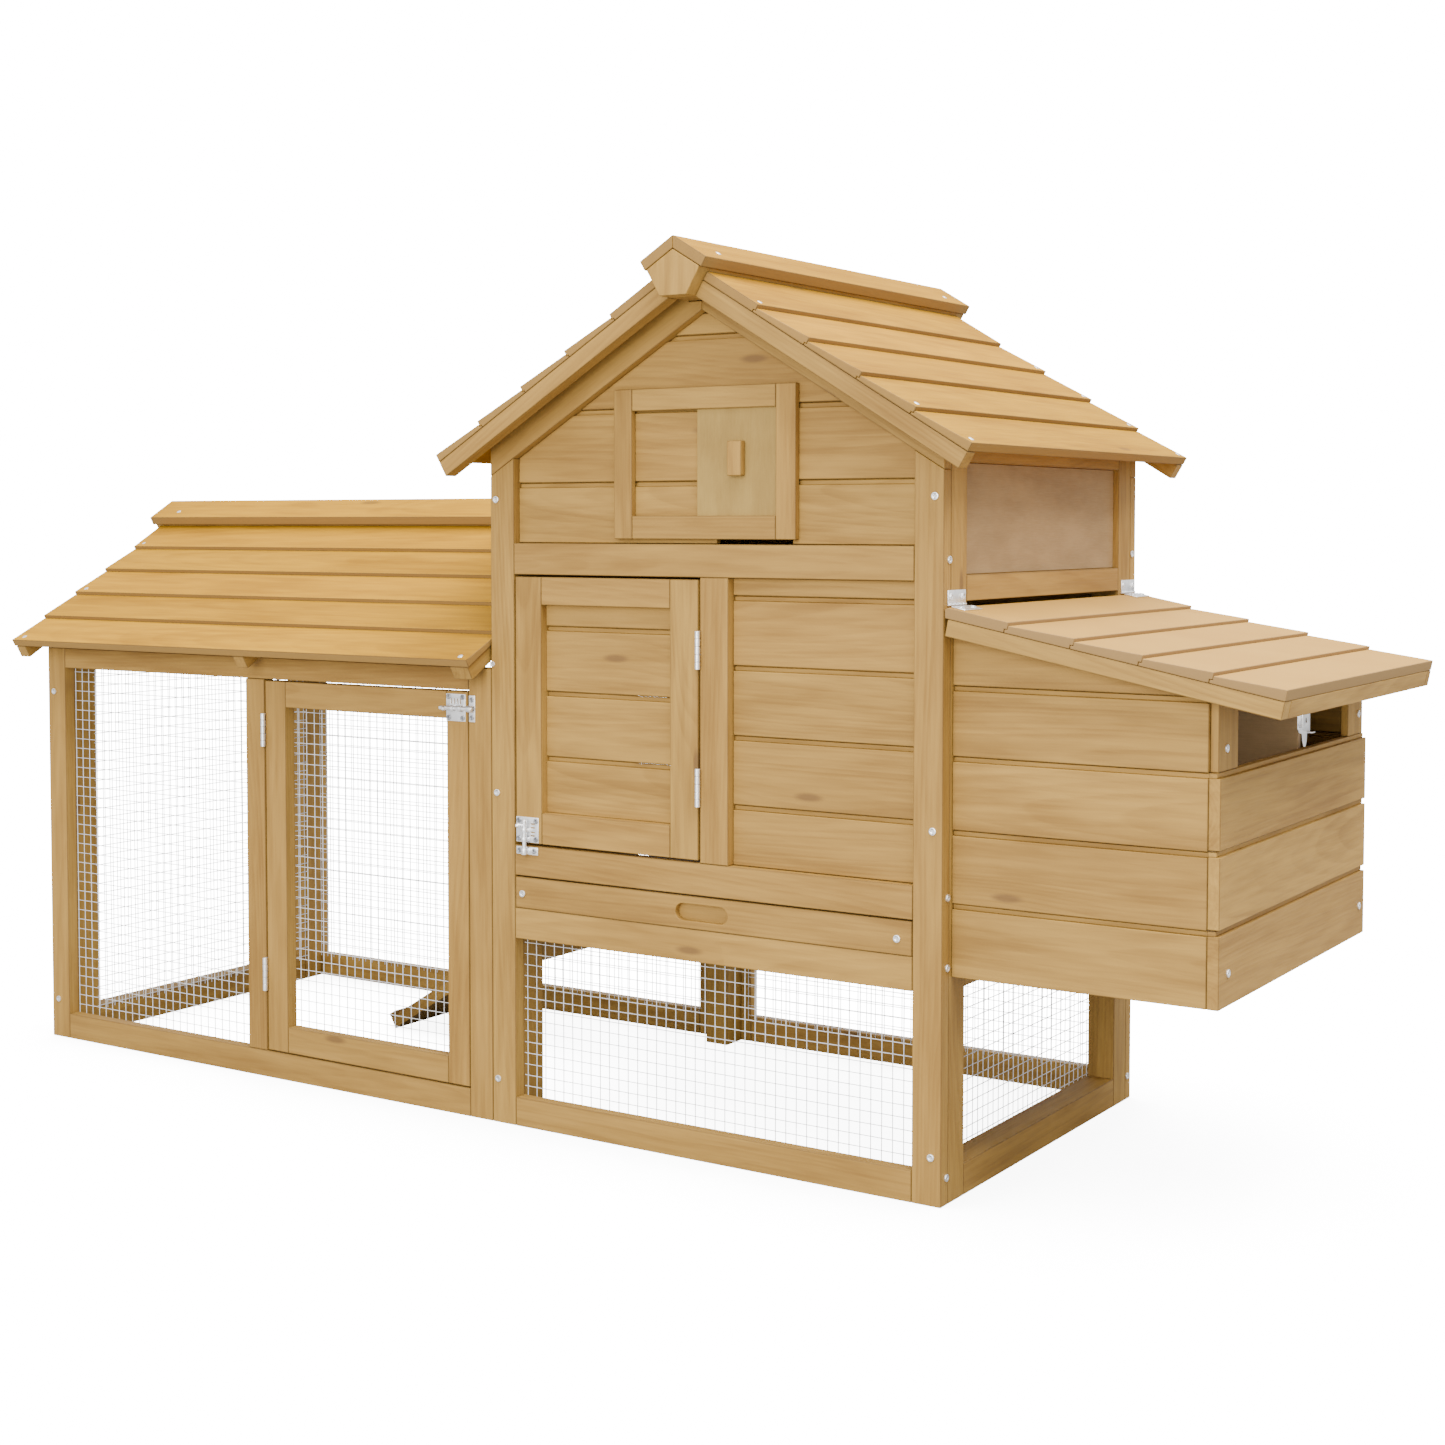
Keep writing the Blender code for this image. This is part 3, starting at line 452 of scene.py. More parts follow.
def rectangle(across, up):
    return [(across[0], up[0]), (across[1], up[0]), (across[1], up[1]), (across[0], up[1])]


def inset(pair, amount):
    return (pair[0] + amount, pair[1] - amount)


def mirrored(points, middle):
    return [(2 * middle - across, up) for across, up in points]


def lapped(length, thick, step, first, last):
    """A roof board's section from its lower edge. A tongue at its upper edge lies under the next board."""
    lap = (step + thick) / 2
    section = [(0.0, 0.0), (length, 0.0 if last else -step)]
    if not last:
        section += [(length, -lap - GAP), (length + TONGUE, -lap - GAP), (length + TONGUE, -thick)]
    else:
        section += [(length, -thick)]
    if not first:
        section += [(TONGUE + GAP, -thick), (TONGUE + GAP, -lap), (0.0, -lap)]
    else:
        section += [(0.0, -thick)]
    return section


def on_slope(eave, angle, along, height):
    """A point given up a slope from its eave's top corner, and square to the slope."""
    across = eave[0] + along * math.cos(angle) - height * math.sin(angle)
    up = eave[1] + along * math.sin(angle) + height * math.cos(angle)
    return (across, up)


def band(sides, low, high, bends=()):
    """The outline between two heights of a wall whose sides are given by a function of the height."""
    heights = [low, *[bend for bend in bends if low < bend < high], high]
    left = [(sides(height)[0], height) for height in heights]
    right = [(sides(height)[1], height) for height in heights]
    return left[::-1] + right


def clad(timber, lines, sides, depth, facing="front", bends=(), gap=None, gap_top=0.0, ledge=False):
    """Boards one above another. The top of each is set back where the next one stands on it.

    Depth runs from the outer face to the inner one. A gap in the wall reaches up to its own top.
    """
    setback = math.copysign(REBATE_DEEP, depth[1] - depth[0])
    for index, (low, high) in enumerate(zip(lines[:-1], lines[1:])):
        plain = index == len(lines) - 2 and not ledge
        foot = low + (BOARD_GAP if index else GAP)
        parts = [(foot, high, depth, EDGE)]
        if not plain:
            shoulder = high - REBATE_TALL
            thin = (depth[0] + setback, depth[1])
            parts = [(foot, shoulder, depth, EDGE), (shoulder, high, thin, EDGE)]
        if not plain and index < len(lines) - 2:
            parts.append((high, high + BOARD_GAP, (depth[0] + 1.5 * setback, depth[1]), 0))
        timber.begin(band(sides, foot, high, bends), sorted(depth), facing)
        for bottom, top, span, bevel in parts:
            walls = [sides]
            if gap and bottom < gap_top:
                walls = [beside(sides, gap, True), beside(sides, gap, False)]
            for wall in walls:
                loop = band(wall, bottom, top, bends)
                timber.slab(loop, sorted(span), facing, bevel=bevel, same=True)


def skin(shape, rings):
    """Faces from each ring of points to the next, and a face over each end."""
    for near, far in zip(rings[:-1], rings[1:]):
        for index, point in enumerate(near):
            after = (index + 1) % len(near)
            shape.faces.new((point, near[after], far[after], far[index]))
    shape.faces.new(rings[0][::-1])
    shape.faces.new(rings[-1])


def circle(radius, steps=24, middle=(0.0, 0.0)):
    turns = [math.tau * step / steps for step in range(steps)]
    return [(middle[0] + radius * math.cos(turn), middle[1] + radius * math.sin(turn)) for turn in turns]


def straight(across):
    return lambda height: across


def boarded(name, node, lines, sides, facing="front", out=1, body="coop", **settings):
    """A wall of boards that stands for a CAD node. Out is -1 where it faces the back or the right."""
    box = limits(node)
    timber = Timber(name, body=body, nodes=[node])
    clad(timber, lines, sides, box[1 if facing == "front" else 0][::out], facing, **settings)
    timber.finish()


def beside(sides, gap, left):
    """The limits of a wall's part at the left or the right of a gap."""
    if left:
        return lambda height: (sides(height)[0], gap[0])
    return lambda height: (gap[1], sides(height)[1])


def around(outer, inner):
    """The two parts of a range that an opening leaves."""
    return ((outer[0], inner[0]), (inner[1], outer[1]))


def whole(name, node, facing="front", way="across", look=(PINE, "pine")):
    """One board that fills the box of its CAD node."""
    x, y, z = limits(node)
    timber = Timber(name, *look, nodes=[node])
    timber.plank(*((x, z, y) if facing == "front" else (y, z, x)), facing, way)
    timber.finish()


def framed(timber, across, up, depth, inner, rails, facing="front"):
    """Two full stiles, and rails across the range between them."""
    for stile in around(across, inner):
        timber.plank(stile, up, depth, facing, "up")
    for rail in rails:
        timber.plank(inset(inner, GAP), rail, depth, facing)


# ---------------------------------------------------------------- roof frames

BEAM_END = 0.022


class Roof:
    """Two slopes of lapped boards that meet at a ridge, measured from the first slope's eave."""

    def __init__(self, prefix, sides, facing, angle, pitch, rafter):
        self.prefix, self.facing, self.angle, self.pitch = prefix, facing, angle, pitch
        self.nodes = [prefix + "_roof_" + side for side in sides]
        self.cap = limits(prefix + "_ridge_cap")
        self.axis = 0 if facing == "front" else 1
        self.across, _, self.through = FACINGS[facing]
        self.depth = ROOF_BOARD + rafter
        first, second = (limits(node)[self.axis] for node in self.nodes)
        self.middle = sum(first + second) / 4
        self.eave = (first[0], limits(self.nodes[0])[2][0] + ROOF_BOARD * math.cos(angle))
        self.length = (first[1] - first[0] - ROOF_BOARD * math.sin(angle)) / math.cos(angle)

    def spot(self, along, height):
        """A point given up the first slope and square to it."""
        return on_slope(self.eave, self.angle, along, height)

    def sided(self, loop, lean):
        """An outline on the first slope, or with a lean of -1 its image on the second."""
        return loop if lean > 0 else mirrored(loop, self.middle)

    def way(self, lean):
        """The direction up the first slope, or down the second."""
        return self.across * math.cos(self.angle) + AXIS_Z * math.sin(self.angle) * lean

    def face(self, lean):
        """The direction out of a slope."""
        return AXIS_Z * math.cos(self.angle) - self.across * math.sin(self.angle) * lean

    def cap_edge(self):
        """The lower top corner of the first cap board."""
        low = self.cap[self.axis][0]
        return (low, self.cap[2][1] - (self.middle - low) * math.tan(self.angle))


HOUSE_ROOF = Roof("house", ("left", "right"), "front", HOUSE_SLOPE, pitch=0.0714, rafter=0.019)
RUN_ROOF = Roof("run", ("front", "back"), "side", RUN_SLOPE, pitch=0.0616, rafter=0.017)


# ---------------------------------------------------------------- house walls

VENT_HOLE = ((0.3030, 0.3980), 0.815)
SIDE_STILE = 0.0357
RIGHT_RAIL = (0.6158, 0.6425)
BACK_STILE = 0.048
LEFT_LINES = (0.3385, 0.4228, 0.5000, 0.5750, 0.6500, 0.7100)
POP_HOLE = ((0.2700, 0.4460), 0.5000)
PEAK_DROP = 0.003
LEFT_LOW_RAIL = 0.183
(GABLE_LEFT, GABLE_RIGHT), _, (GABLE_LOW, _) = limits("house_front_rakes")
GABLE_MIDDLE = (GABLE_LEFT + GABLE_RIGHT) / 2
GABLE_HIGH = GABLE_LOW + RAKE_DEPTH / math.cos(HOUSE_SLOPE)
GABLE_RISE = math.tan(HOUSE_SLOPE)


def rakes(timber, span):
    """Two boards under the roof slopes, mitred at the middle and notched for the ridge beam."""
    end = HOUSE_ROOF.length - GAP
    upper = HOUSE_ROOF.spot(end, -ROOF_BOARD - GAP)
    lower = HOUSE_ROOF.spot(end, -HOUSE_ROOF.depth - 2 * GAP)
    seam = GABLE_MIDDLE - GAP / 2
    peak = (seam, GABLE_LOW + seam * GABLE_RISE)
    left = [(0.0, GABLE_LOW), (0.0, GABLE_HIGH), upper, lower, (seam, lower[1]), peak]
    timber.slab(left, span, grain=HOUSE_ROOF.way(1))
    timber.slab(mirrored(left, GABLE_MIDDLE), span, grain=HOUSE_ROOF.way(-1))


def post_outlines(width):
    """A left post and a right one, cut to the slopes of the rakes."""
    top = GABLE_LOW - GAP
    left = [(0.0, 0.0), (width, 0.0), (width, top + width * GABLE_RISE), (0.0, top)]
    return left, mirrored(left, GABLE_MIDDLE)


def gable_sides(inner):
    """A gable wall's limits at a height, the height from which they lean inwards, and its top."""
    def sides(height):
        reach = max(inner, (height - GABLE_LOW) / GABLE_RISE + 2 * GAP)
        return (reach, 2 * GABLE_MIDDLE - reach)

    return sides, GABLE_LOW + inner * GABLE_RISE, GABLE_LOW + GABLE_MIDDLE * GABLE_RISE - PEAK_DROP


def house_front():
    (_, post), depth, _ = limits("house_front_post_left")
    for side, loop in zip(("left", "right"), post_outlines(post)):
        timber = Timber("front_post_" + side, nodes=["house_front_post_" + side])
        timber.slab(loop, depth, grain=AXIS_Z)
        timber.finish()
    timber = Timber("front_rakes", nodes=["house_front_rakes"])
    rakes(timber, depth)
    timber.finish()
    for rail in ("mid", "sill", "lower", "bottom"):
        whole("front_" + rail + "_rail", "house_front_" + rail + "_rail")
    whole("front_mid_stile", "house_front_mid_stile", way="up")
    node = "house_front_wall_boards"
    across, _, up = limits(node)
    boarded("front_wall_boards", node, [up[0], *WALL_LINES, up[1]], straight(across))
    node = "house_front_gable_boards"
    sides, bend, peak = gable_sides(post + GAP)
    lines = [limits(node)[2][0], *GABLE_LINES, peak]
    hole, top = VENT_HOLE
    boarded("front_gable_boards", node, lines, sides, bends=(bend,), gap=hole, gap_top=top)


def side_frame(name, node, rails):
    """A side frame of the house: two stiles with rails between them."""
    span, across, up = limits(node)
    timber = Timber(name, nodes=[node])
    framed(timber, across, up, span, inset(across, SIDE_STILE), rails, "side")
    timber.finish()


def house_sides():
    lower = limits("house_front_lower_rail")[2]
    bottom = limits("house_front_bottom_rail")[2]
    top = limits("house_left_frame")[2][1]
    head = (top - bottom[1], top)
    left_low = limits("house_left_boards")[2][0] - GAP
    side_frame("left_side_frame", "house_left_frame", [(LEFT_LOW_RAIL, left_low), head])
    side_frame("right_side_frame", "house_right_frame", [bottom, lower, RIGHT_RAIL, head])
    _, across, up = limits("house_left_boards")
    lines = [up[0], *LEFT_LINES, up[1]]
    hole, top = POP_HOLE
    boarded(
        "left_side_boards", "house_left_boards", lines, straight(across), "side", gap=hole, gap_top=top)
    whole("right_side_panel", "house_right_panel", "side", look=(PLYWOOD, "plywood"))


def house_back():
    across, depth, _ = limits("house_back_frame")
    lower = limits("house_front_lower_rail")[2]
    bottom = limits("house_front_bottom_rail")[2]
    timber = Timber("back_frame", nodes=["house_back_frame"])
    for post in post_outlines(BACK_STILE):
        timber.slab(post, depth, grain=AXIS_Z)
    rakes(timber, depth)
    for rail in (bottom, lower):
        timber.plank((BACK_STILE + GAP, across[1] - BACK_STILE - GAP), rail, depth)
    timber.finish()
    foot = limits("house_back_boards")[2][0]
    sides, bend, peak = gable_sides(BACK_STILE + GAP)
    rows = int((peak - foot) / BOARD_HEIGHT)
    lines = [foot + row * BOARD_HEIGHT for row in range(rows)] + [peak]
    boarded("back_boards", "house_back_boards", lines, sides, out=-1, bends=(bend,))


# ---------------------------------------------------------------- roofs


def roof_boards(roof):
    """Boards that step up both slopes. Each has a tongue under the next one, which stands proud."""
    for lean, node in zip((1, -1), roof.nodes):
        name = roof.prefix + "_boards_" + node.split("_")[-1]
        timber = Timber(name, ROOF_PINE, "roof_pine", nodes=[node])
        for index in range(ROOF_BOARDS):
            last = index == ROOF_BOARDS - 1
            start = index * roof.pitch
            stop = roof.length if last else start + roof.pitch - GAP
            section = lapped(stop - start, ROOF_BOARD, ROOF_STEP, index == 0, last)
            loop = roof.sided([roof.spot(start + along, height) for along, height in section], lean)
            span = limits(node)[1 - roof.axis]
            timber.slab(loop, span, roof.facing, roof.through, face=roof.face(lean))
        timber.finish()


def ridge(roof, depth):
    """Two cap boards over a ridge beam. The beam's ends have covers with upright grain."""
    span, top = roof.cap[1 - roof.axis], roof.cap[2][1]
    low = roof.cap_edge()
    inner = on_slope(low, roof.angle, 0.0, -CAP_BOARD)
    seam = roof.middle - GAP / 2
    drop = CAP_BOARD / math.cos(roof.angle)
    left = [(seam, top), low, inner, (seam, top - drop)]
    node = roof.prefix + "_ridge_cap"
    timber = Timber(roof.prefix + "_ridge_boards", ROOF_PINE, "roof_pine", nodes=[node])
    for lean in (1, -1):
        timber.slab(roof.sided(left, lean), span, roof.facing, roof.through, face=roof.face(lean))
    timber.finish()

    peak = top - drop - 2 * GAP
    lift = (peak - roof.eave[1]) * math.cos(roof.angle)
    rise = lift - (roof.middle - roof.eave[0]) * math.sin(roof.angle)
    side = roof.length + GAP
    beam = [(roof.middle, peak), roof.spot(side, rise), roof.spot(side, -depth)]
    beam += mirrored(beam[:0:-1], roof.middle)
    node = roof.prefix + "_ridge_beam"
    timber = Timber(roof.prefix + "_ridge_timber", PINE, "roof_pine", nodes=[node])
    covers = [(span[0], span[0] + BEAM_END), (span[1] - BEAM_END, span[1])]
    for cover in covers:
        timber.slab(beam, cover, roof.facing, AXIS_Z)
    core = (covers[0][1] + GAP, covers[1][0] - GAP)
    timber.slab(beam, core, roof.facing, roof.through, face=AXIS_Z)
    timber.finish()


def house_roof():
    roof_boards(HOUSE_ROOF)
    ridge(HOUSE_ROOF, HOUSE_ROOF.depth)
    section = rectangle((0.0, HOUSE_ROOF.length), (-HOUSE_ROOF.depth, -ROOF_BOARD - GAP))
    loop = [HOUSE_ROOF.spot(*spot) for spot in section]
    for place in ("front", "back"):
        for side, lean in (("left", 1), ("right", -1)):
            name = "rafter_" + place + "_" + side
            timber = Timber(name, PINE, "roof_pine", nodes=["house_" + name])
            span = limits("house_" + name)[1]
            timber.slab(HOUSE_ROOF.sided(loop, lean), span, grain=HOUSE_ROOF.way(lean))
            timber.finish()


def run_roof():
    roof_boards(RUN_ROOF)
    ridge(RUN_ROOF, ROOF_BOARD)
    low = RUN_ROOF.spot(0.0, -RUN_ROOF.depth)
    high = RUN_ROOF.spot(0.0, -ROOF_BOARD - GAP)
    upper = RUN_ROOF.spot(RUN_ROOF.length + GAP, -ROOF_BOARD)
    flat = upper[1] - GAP
    seam = RUN_ROOF.middle - GAP / 2
    peak = low[1] + (seam - low[0]) * math.tan(RUN_SLOPE)
    loop = [low, high, (upper[0], flat), (seam, flat), (seam, peak)]
    for place in ("left", "middle", "right"):
        node = "run_rafters_" + place
        timber = Timber("run_rafter_pair_" + place, PINE, "roof_pine", nodes=[node])
        for lean in (1, -1):
            timber.slab(RUN_ROOF.sided(loop, lean), limits(node)[0], "side", RUN_ROOF.way(lean))
        timber.finish()


# ---------------------------------------------------------------- run, ramp and doors

RUN_POST = 0.0334
RUN_RAILS = ((0.0, 0.0334), (0.5015, 0.5280))
RUN_MID_STILE = (-0.3945, -0.3629)
RUN_DOOR_OPENING = ((-0.3267, -0.0673), (0.0675, 0.4673))
RAMP_BOARD = 0.0165
CLEAT = (0.012, 0.0055)
CLEAT_PITCH = 0.120
RAMP_FOOT = -0.400
RAMP_RUN = 0.394
RAMP_SLOPE = math.atan2(0.244, RAMP_RUN)
END_BOARDS_IN = 0.008
DOOR_EASE = 0.0016
HINGE_EASE = 0.0006


def run_frames():
    for name in ("run_front", "run_back"):
        across, span, up = limits(name + "_frame")
        timber = Timber(name, nodes=[name + "_frame"])
        framed(timber, across, up, span, inset(across, RUN_POST), RUN_RAILS)
        if name == "run_front":
            timber.plank(RUN_MID_STILE, (RUN_RAILS[0][1] + GAP, RUN_RAILS[1][0] - GAP), span, way="up")
        timber.finish()
    span, across, up = limits("run_left_frame")
    timber = Timber("run_end", nodes=["run_left_frame"])
    eave = RUN_RAILS[1][1]
    framed(timber, across, (0.0, eave), span, inset(across, SIDE_STILE), RUN_RAILS, "side")
    middle = sum(across) / 2
    flat = limits("run_ridge_beam")[1][0]
    rise = math.tan(RUN_SLOPE)

    def sides(height):
        reach = max(across[0], flat - (up[1] - height) / rise)
        return (reach, 2 * middle - reach)

    lines = [eave, eave + BOARD_HEIGHT, eave + 2 * BOARD_HEIGHT, up[1]]
    bend = up[1] - (flat - across[0]) * rise
    clad(timber, lines, sides, inset(span, END_BOARDS_IN), "side", bends=(bend,))
    timber.finish()


def ramp():
    span = limits("ramp")[1]
    length = RAMP_RUN / math.cos(RAMP_SLOPE)

    def laid(along, height):
        return [on_slope((RAMP_FOOT, 0.0), RAMP_SLOPE, *spot) for spot in rectangle(along, height)]

    slope = Vector((math.cos(RAMP_SLOPE), 0.0, math.sin(RAMP_SLOPE)))
    timber = Timber("ramp_board", nodes=["ramp"])
    timber.slab(laid((0.0, length), (0.0, RAMP_BOARD)), span, grain=slope)
    for index in range(int(length / CLEAT_PITCH) + 1):
        near = index * CLEAT_PITCH
        cleat = laid((near, near + CLEAT[0]), (RAMP_BOARD + GAP, RAMP_BOARD + CLEAT[1]))
        timber.slab(cleat, span, grain=AXIS_Y, face=AXIS_Z)
    timber.finish()


def doors():
    across, span, up = limits("house_door_frame")
    panel = limits("house_door_boards")
    across, up = (across[0] + DOOR_EASE, across[1] - HINGE_EASE), inset(up, DOOR_EASE)
    timber = Timber("door_frame", body="house_door", nodes=["house_door_frame"])
    framed(timber, across, up, span, inset(panel[0], GAP), around(up, inset(panel[2], GAP)))
    timber.finish()
    lines = [panel[2][0], *DOOR_LINES, panel[2][1]]
    boarded("door_boards", "house_door_boards", lines, straight(panel[0]), body="house_door")
    across, span, up = limits("run_door_frame")
    timber = Timber("run_gate_frame", body="run_door", nodes=["run_door_frame"])
    framed(timber, across, up, span, RUN_DOOR_OPENING[0], around(up, RUN_DOOR_OPENING[1]))
    timber.finish()


# ---------------------------------------------------------------- window, tray and nest box

WINDOW_OPENING = ((0.1967, 0.3815), (0.7033, 0.8180))
KNOB = ((0.3235, 0.3415), (0.7456, 0.7830))
SHUTTER_SHEET = 0.0035
KNOB_EDGE = 0.0014
# The tray board's finger slot: its middle, and its length and height
SLOT = (0.2891, 0.2722, 0.0674, 0.0188)
SLOT_DEPTH = 0.008
SLOT_STEPS = 10
PAN_SHEET = 0.0012
PAN_CORNER = 0.012
PAN_LIP = 0.004
PAN_BEND = (0.004, 0.003)
LID_STEP = 0.0035
LID_BOARD_DEPTH = 0.0111
LID_FRAME_DEPTH = 0.0175
LID_SIDES = (0.0190, 0.0144)
LID_END = 0.0180
# The hinge edge of the lid's last board: how far back its top and its waist lie, and the waist's depth
LID_EASE = (0.0034, 0.0004, 0.0024)
LID_RIB = (0.2800, 0.2980)
LID_OUT = Vector((math.sin(LID_SLOPE), 0.0, math.cos(LID_SLOPE)))
NEST_STILE = 0.057
NEST_LEDGE = 0.4595
DIVIDER = (0.3000, 0.3090)
DIVIDER_END = 0.8453
DIVIDER_TOP = 0.530


def window():
    across, span, up = limits("window_frame")
    timber = Timber("window_surround", nodes=["window_frame"])
    framed(timber, across, up, span, WINDOW_OPENING[0], around(up, WINDOW_OPENING[1]))
    timber.finish()
    across, span, up = limits("window_slide")
    face = span[1] - SHUTTER_SHEET
    timber = Timber("shutter", SHUTTER, "plywood", "window_slide", ["window_slide"])
    timber.plank(across, up, (face, span[1]), way="up")
    timber.finish()
    timber = Timber("shutter_knob", PINE, "plywood", "window_slide")
    timber.plank(*KNOB, (span[0], face - GAP), way="up", bevel=KNOB_EDGE)
    timber.finish()


def stadium(across, up, length, height):
    """The outline of a slot with round ends."""
    radius = height / 2
    loop = []
    for end in (1, -1):
        centre = across + end * (length / 2 - radius)
        for step in range(SLOT_STEPS + 1):
            turn = math.pi * step / SLOT_STEPS - math.pi / 2 * end
            loop.append((centre + radius * math.cos(turn), up + radius * math.sin(turn)))
    return loop


def tray():
    across, span, up = limits("tray_front")
    timber = Timber("tray_board", body="tray", nodes=["tray_front"])
    floor = span[0] + SLOT_DEPTH
    timber.slab(rectangle(across, up), (span[0], floor), holes=[stadium(*SLOT)])
    timber.slab(rectangle(across, up), (floor, span[1]), same=True)
    timber.finish()
    pan = Piece("tray_pan_sheet", PAN_METAL, "zinc_plate", "tray", ["tray_pan"])
    pan.gather(dished(*limits("tray_pan")))
    pan.finish()
    for side in ("left", "right"):
        whole("runner_" + side, "tray_runner_" + side, way="through")


def dished(x, y, z, steps=4):
    """A pressed sheet tray with rounded corners, an outward lip and a wall of one thickness."""
    def ring(shrink, height, radius):
        points = []
        for turn, (across, deep) in enumerate(((1, 1), (0, 1), (0, 0), (1, 0))):
            centre_x = x[across] + (1 - 2 * across) * (shrink + radius)
            centre_y = y[deep] + (1 - 2 * deep) * (shrink + radius)
            for step in range(steps + 1):
                angle = math.pi / 2 * (turn + step / steps)
                spot = (centre_x + radius * math.cos(angle), centre_y + radius * math.sin(angle))
                points.append((*spot, height))
        return points

    shape = bmesh.new()
    low, top = z
    rim, inner = top - PAN_SHEET, PAN_LIP + PAN_SHEET
    outer_bend, inner_bend = PAN_BEND
    levels = [
        (PAN_LIP + outer_bend, low, PAN_CORNER - outer_bend), (PAN_LIP, low + outer_bend, PAN_CORNER),
        (PAN_LIP, rim, PAN_CORNER), (0.0, rim, PAN_CORNER), (0.0, top, PAN_CORNER),
        (inner, top, PAN_CORNER), (inner, low + outer_bend, PAN_CORNER),
        (inner + inner_bend, low + PAN_SHEET, PAN_CORNER - inner_bend),
    ]
    rings = [[shape.verts.new(point) for point in ring(*level)] for level in levels]
    skin(shape, rings)
    bmesh.ops.recalc_face_normals(shape, faces=shape.faces[:])
    return shape


def nest_walls():
    across, span, up = limits("nest_front_wall")
    tangent = math.tan(LID_SLOPE)

    def sides(height):
        return (across[0], min(across[1], across[0] + (up[1] - height) / tangent))

    bend = up[1] - (across[1] - across[0]) * tangent
    lines = [up[0], *NEST_SIDE_LINES, up[1] - PEAK_DROP]
    for name, out in (("front", 1), ("back", -1)):
        node = "nest_" + name + "_wall"
        boarded("nest_" + name + "_boards", node, lines, sides, out=out, bends=(bend,))
    span, across, up = limits("nest_end_wall")
    timber = Timber("nest_end_boards", nodes=["nest_end_wall"])
    lines = [up[0], *NEST_END_LINES, NEST_LEDGE]
    clad(timber, lines, straight(across), span[::-1], "side", ledge=True)
    for stile in around(inset(across, REBATE_DEEP), inset(across, NEST_STILE)):
        timber.plank(stile, (NEST_LEDGE + GAP, up[1]), (span[0], span[1] - REBATE_DEEP), "side", "up")
    timber.finish()
    whole("nest_base", "nest_floor")
    across, _, up = limits("nest_floor")
    timber = Timber("nest_divider", PLYWOOD, "plywood")
    timber.plank((across[0], DIVIDER_END), (up[1] + GAP, DIVIDER_TOP), DIVIDER)
    timber.finish()


def lid_point(along, height):
    """A point on the nest lid, given down its slope from the hinge and square to it."""
    (left, _), _, (_, top) = limits("nest_lid_boards")
    return on_slope((left, top), -LID_SLOPE, along, height)


def nest_lid():
    (left, right), span, _ = limits("nest_lid_boards")
    length = (right - left) / math.cos(LID_SLOPE)
    pitch = length / ROOF_BOARDS
    timber = Timber("lid_boards", LID_BOARD, "lid_board", "nest_lid", ["nest_lid_boards"])
    for index in range(ROOF_BOARDS):
        low = length - index * pitch
        last = index == ROOF_BOARDS - 1
        section = lapped(pitch - GAP, LID_BOARD_DEPTH, LID_STEP, index == 0, last)
        if last:
            back = section[1][0]
            square = back - LID_BOARD_DEPTH * math.tan(LID_SLOPE)
            top, waist, deep = LID_EASE
            section[1:3] = [(back - top, 0.0), (back - waist, -deep), (square, -LID_BOARD_DEPTH)]
        loop = [lid_point(low - along, height) for along, height in section]
        timber.slab(loop, span, grain=AXIS_Y, face=LID_OUT)
    timber.finish()
    _, width, _ = limits("nest_lid_frame")
    heights = (-LID_BOARD_DEPTH - GAP - LID_FRAME_DEPTH, -LID_BOARD_DEPTH - GAP)
    near = -heights[0] * math.tan(LID_SLOPE) + GAP
    timber = Timber("lid_frame", body="nest_lid", nodes=["nest_lid_frame"])
    side = [lid_point(*spot) for spot in rectangle((near, length), heights)]
    inner = (width[0] + LID_SIDES[0], width[1] - LID_SIDES[1])
    for member in around(width, inner):
        timber.slab(side, member, grain=AXIS_Y.cross(LID_OUT))
    for member in (LID_RIB, (length - LID_END, length)):
        loop = [lid_point(*spot) for spot in rectangle(member, heights)]
        timber.slab(loop, inset(inner, GAP), grain=AXIS_Y)
    timber.finish()


# ---------------------------------------------------------------- wire mesh

WIRE_PITCH = 0.0129
WIRE_RADIUS = 0.00050
WIRE_SIDES = 6
WIRE_SHIFT = WIRE_RADIUS / 2
WIRE_WANDER = 0.00012
BENDS_APART = 3
MESH_SEED = 7
WIRE_LAP = 0.004
HOUSE_WIRE_LEVEL = (0.0300, 0.2220)
RUN_WIRE_LEVEL = (0.0300, 0.5050)


def wire(piece, start, stop, chance):
    """A round wire, bent a hair out of line here and there by its welds."""
    way = (stop - start).normalized()
    count = max(2, round((stop - start).length / (BENDS_APART * WIRE_PITCH)))
    side = way.orthogonal().normalized()
    other = way.cross(side)
    shape = bmesh.new()
    rings = []
    for index in range(count + 1):
        middle = start.lerp(stop, index / count)
        middle += (side * chance.uniform(-1, 1) + other * chance.uniform(-1, 1)) * WIRE_WANDER
        spots = [middle + side * across + other * up for across, up in circle(WIRE_RADIUS, WIRE_SIDES)]
        rings.append([shape.verts.new(spot) for spot in spots])
    skin(shape, rings)
    piece.gather(shape)


def wire_panel(piece, corner, across, up, depth, chance):
    """Welded mesh over a rectangle: upright wires, with level wires just behind them."""
    for direction, other, shift in ((up, across, -WIRE_SHIFT), (across, up, WIRE_SHIFT)):
        count = int(other.length / WIRE_PITCH)
        spare = (other.length - count * WIRE_PITCH) / 2
        for index in range(count + 1):
            start = corner + other.normalized() * (spare + index * WIRE_PITCH) + depth * shift
            wire(piece, start, start + direction, chance)


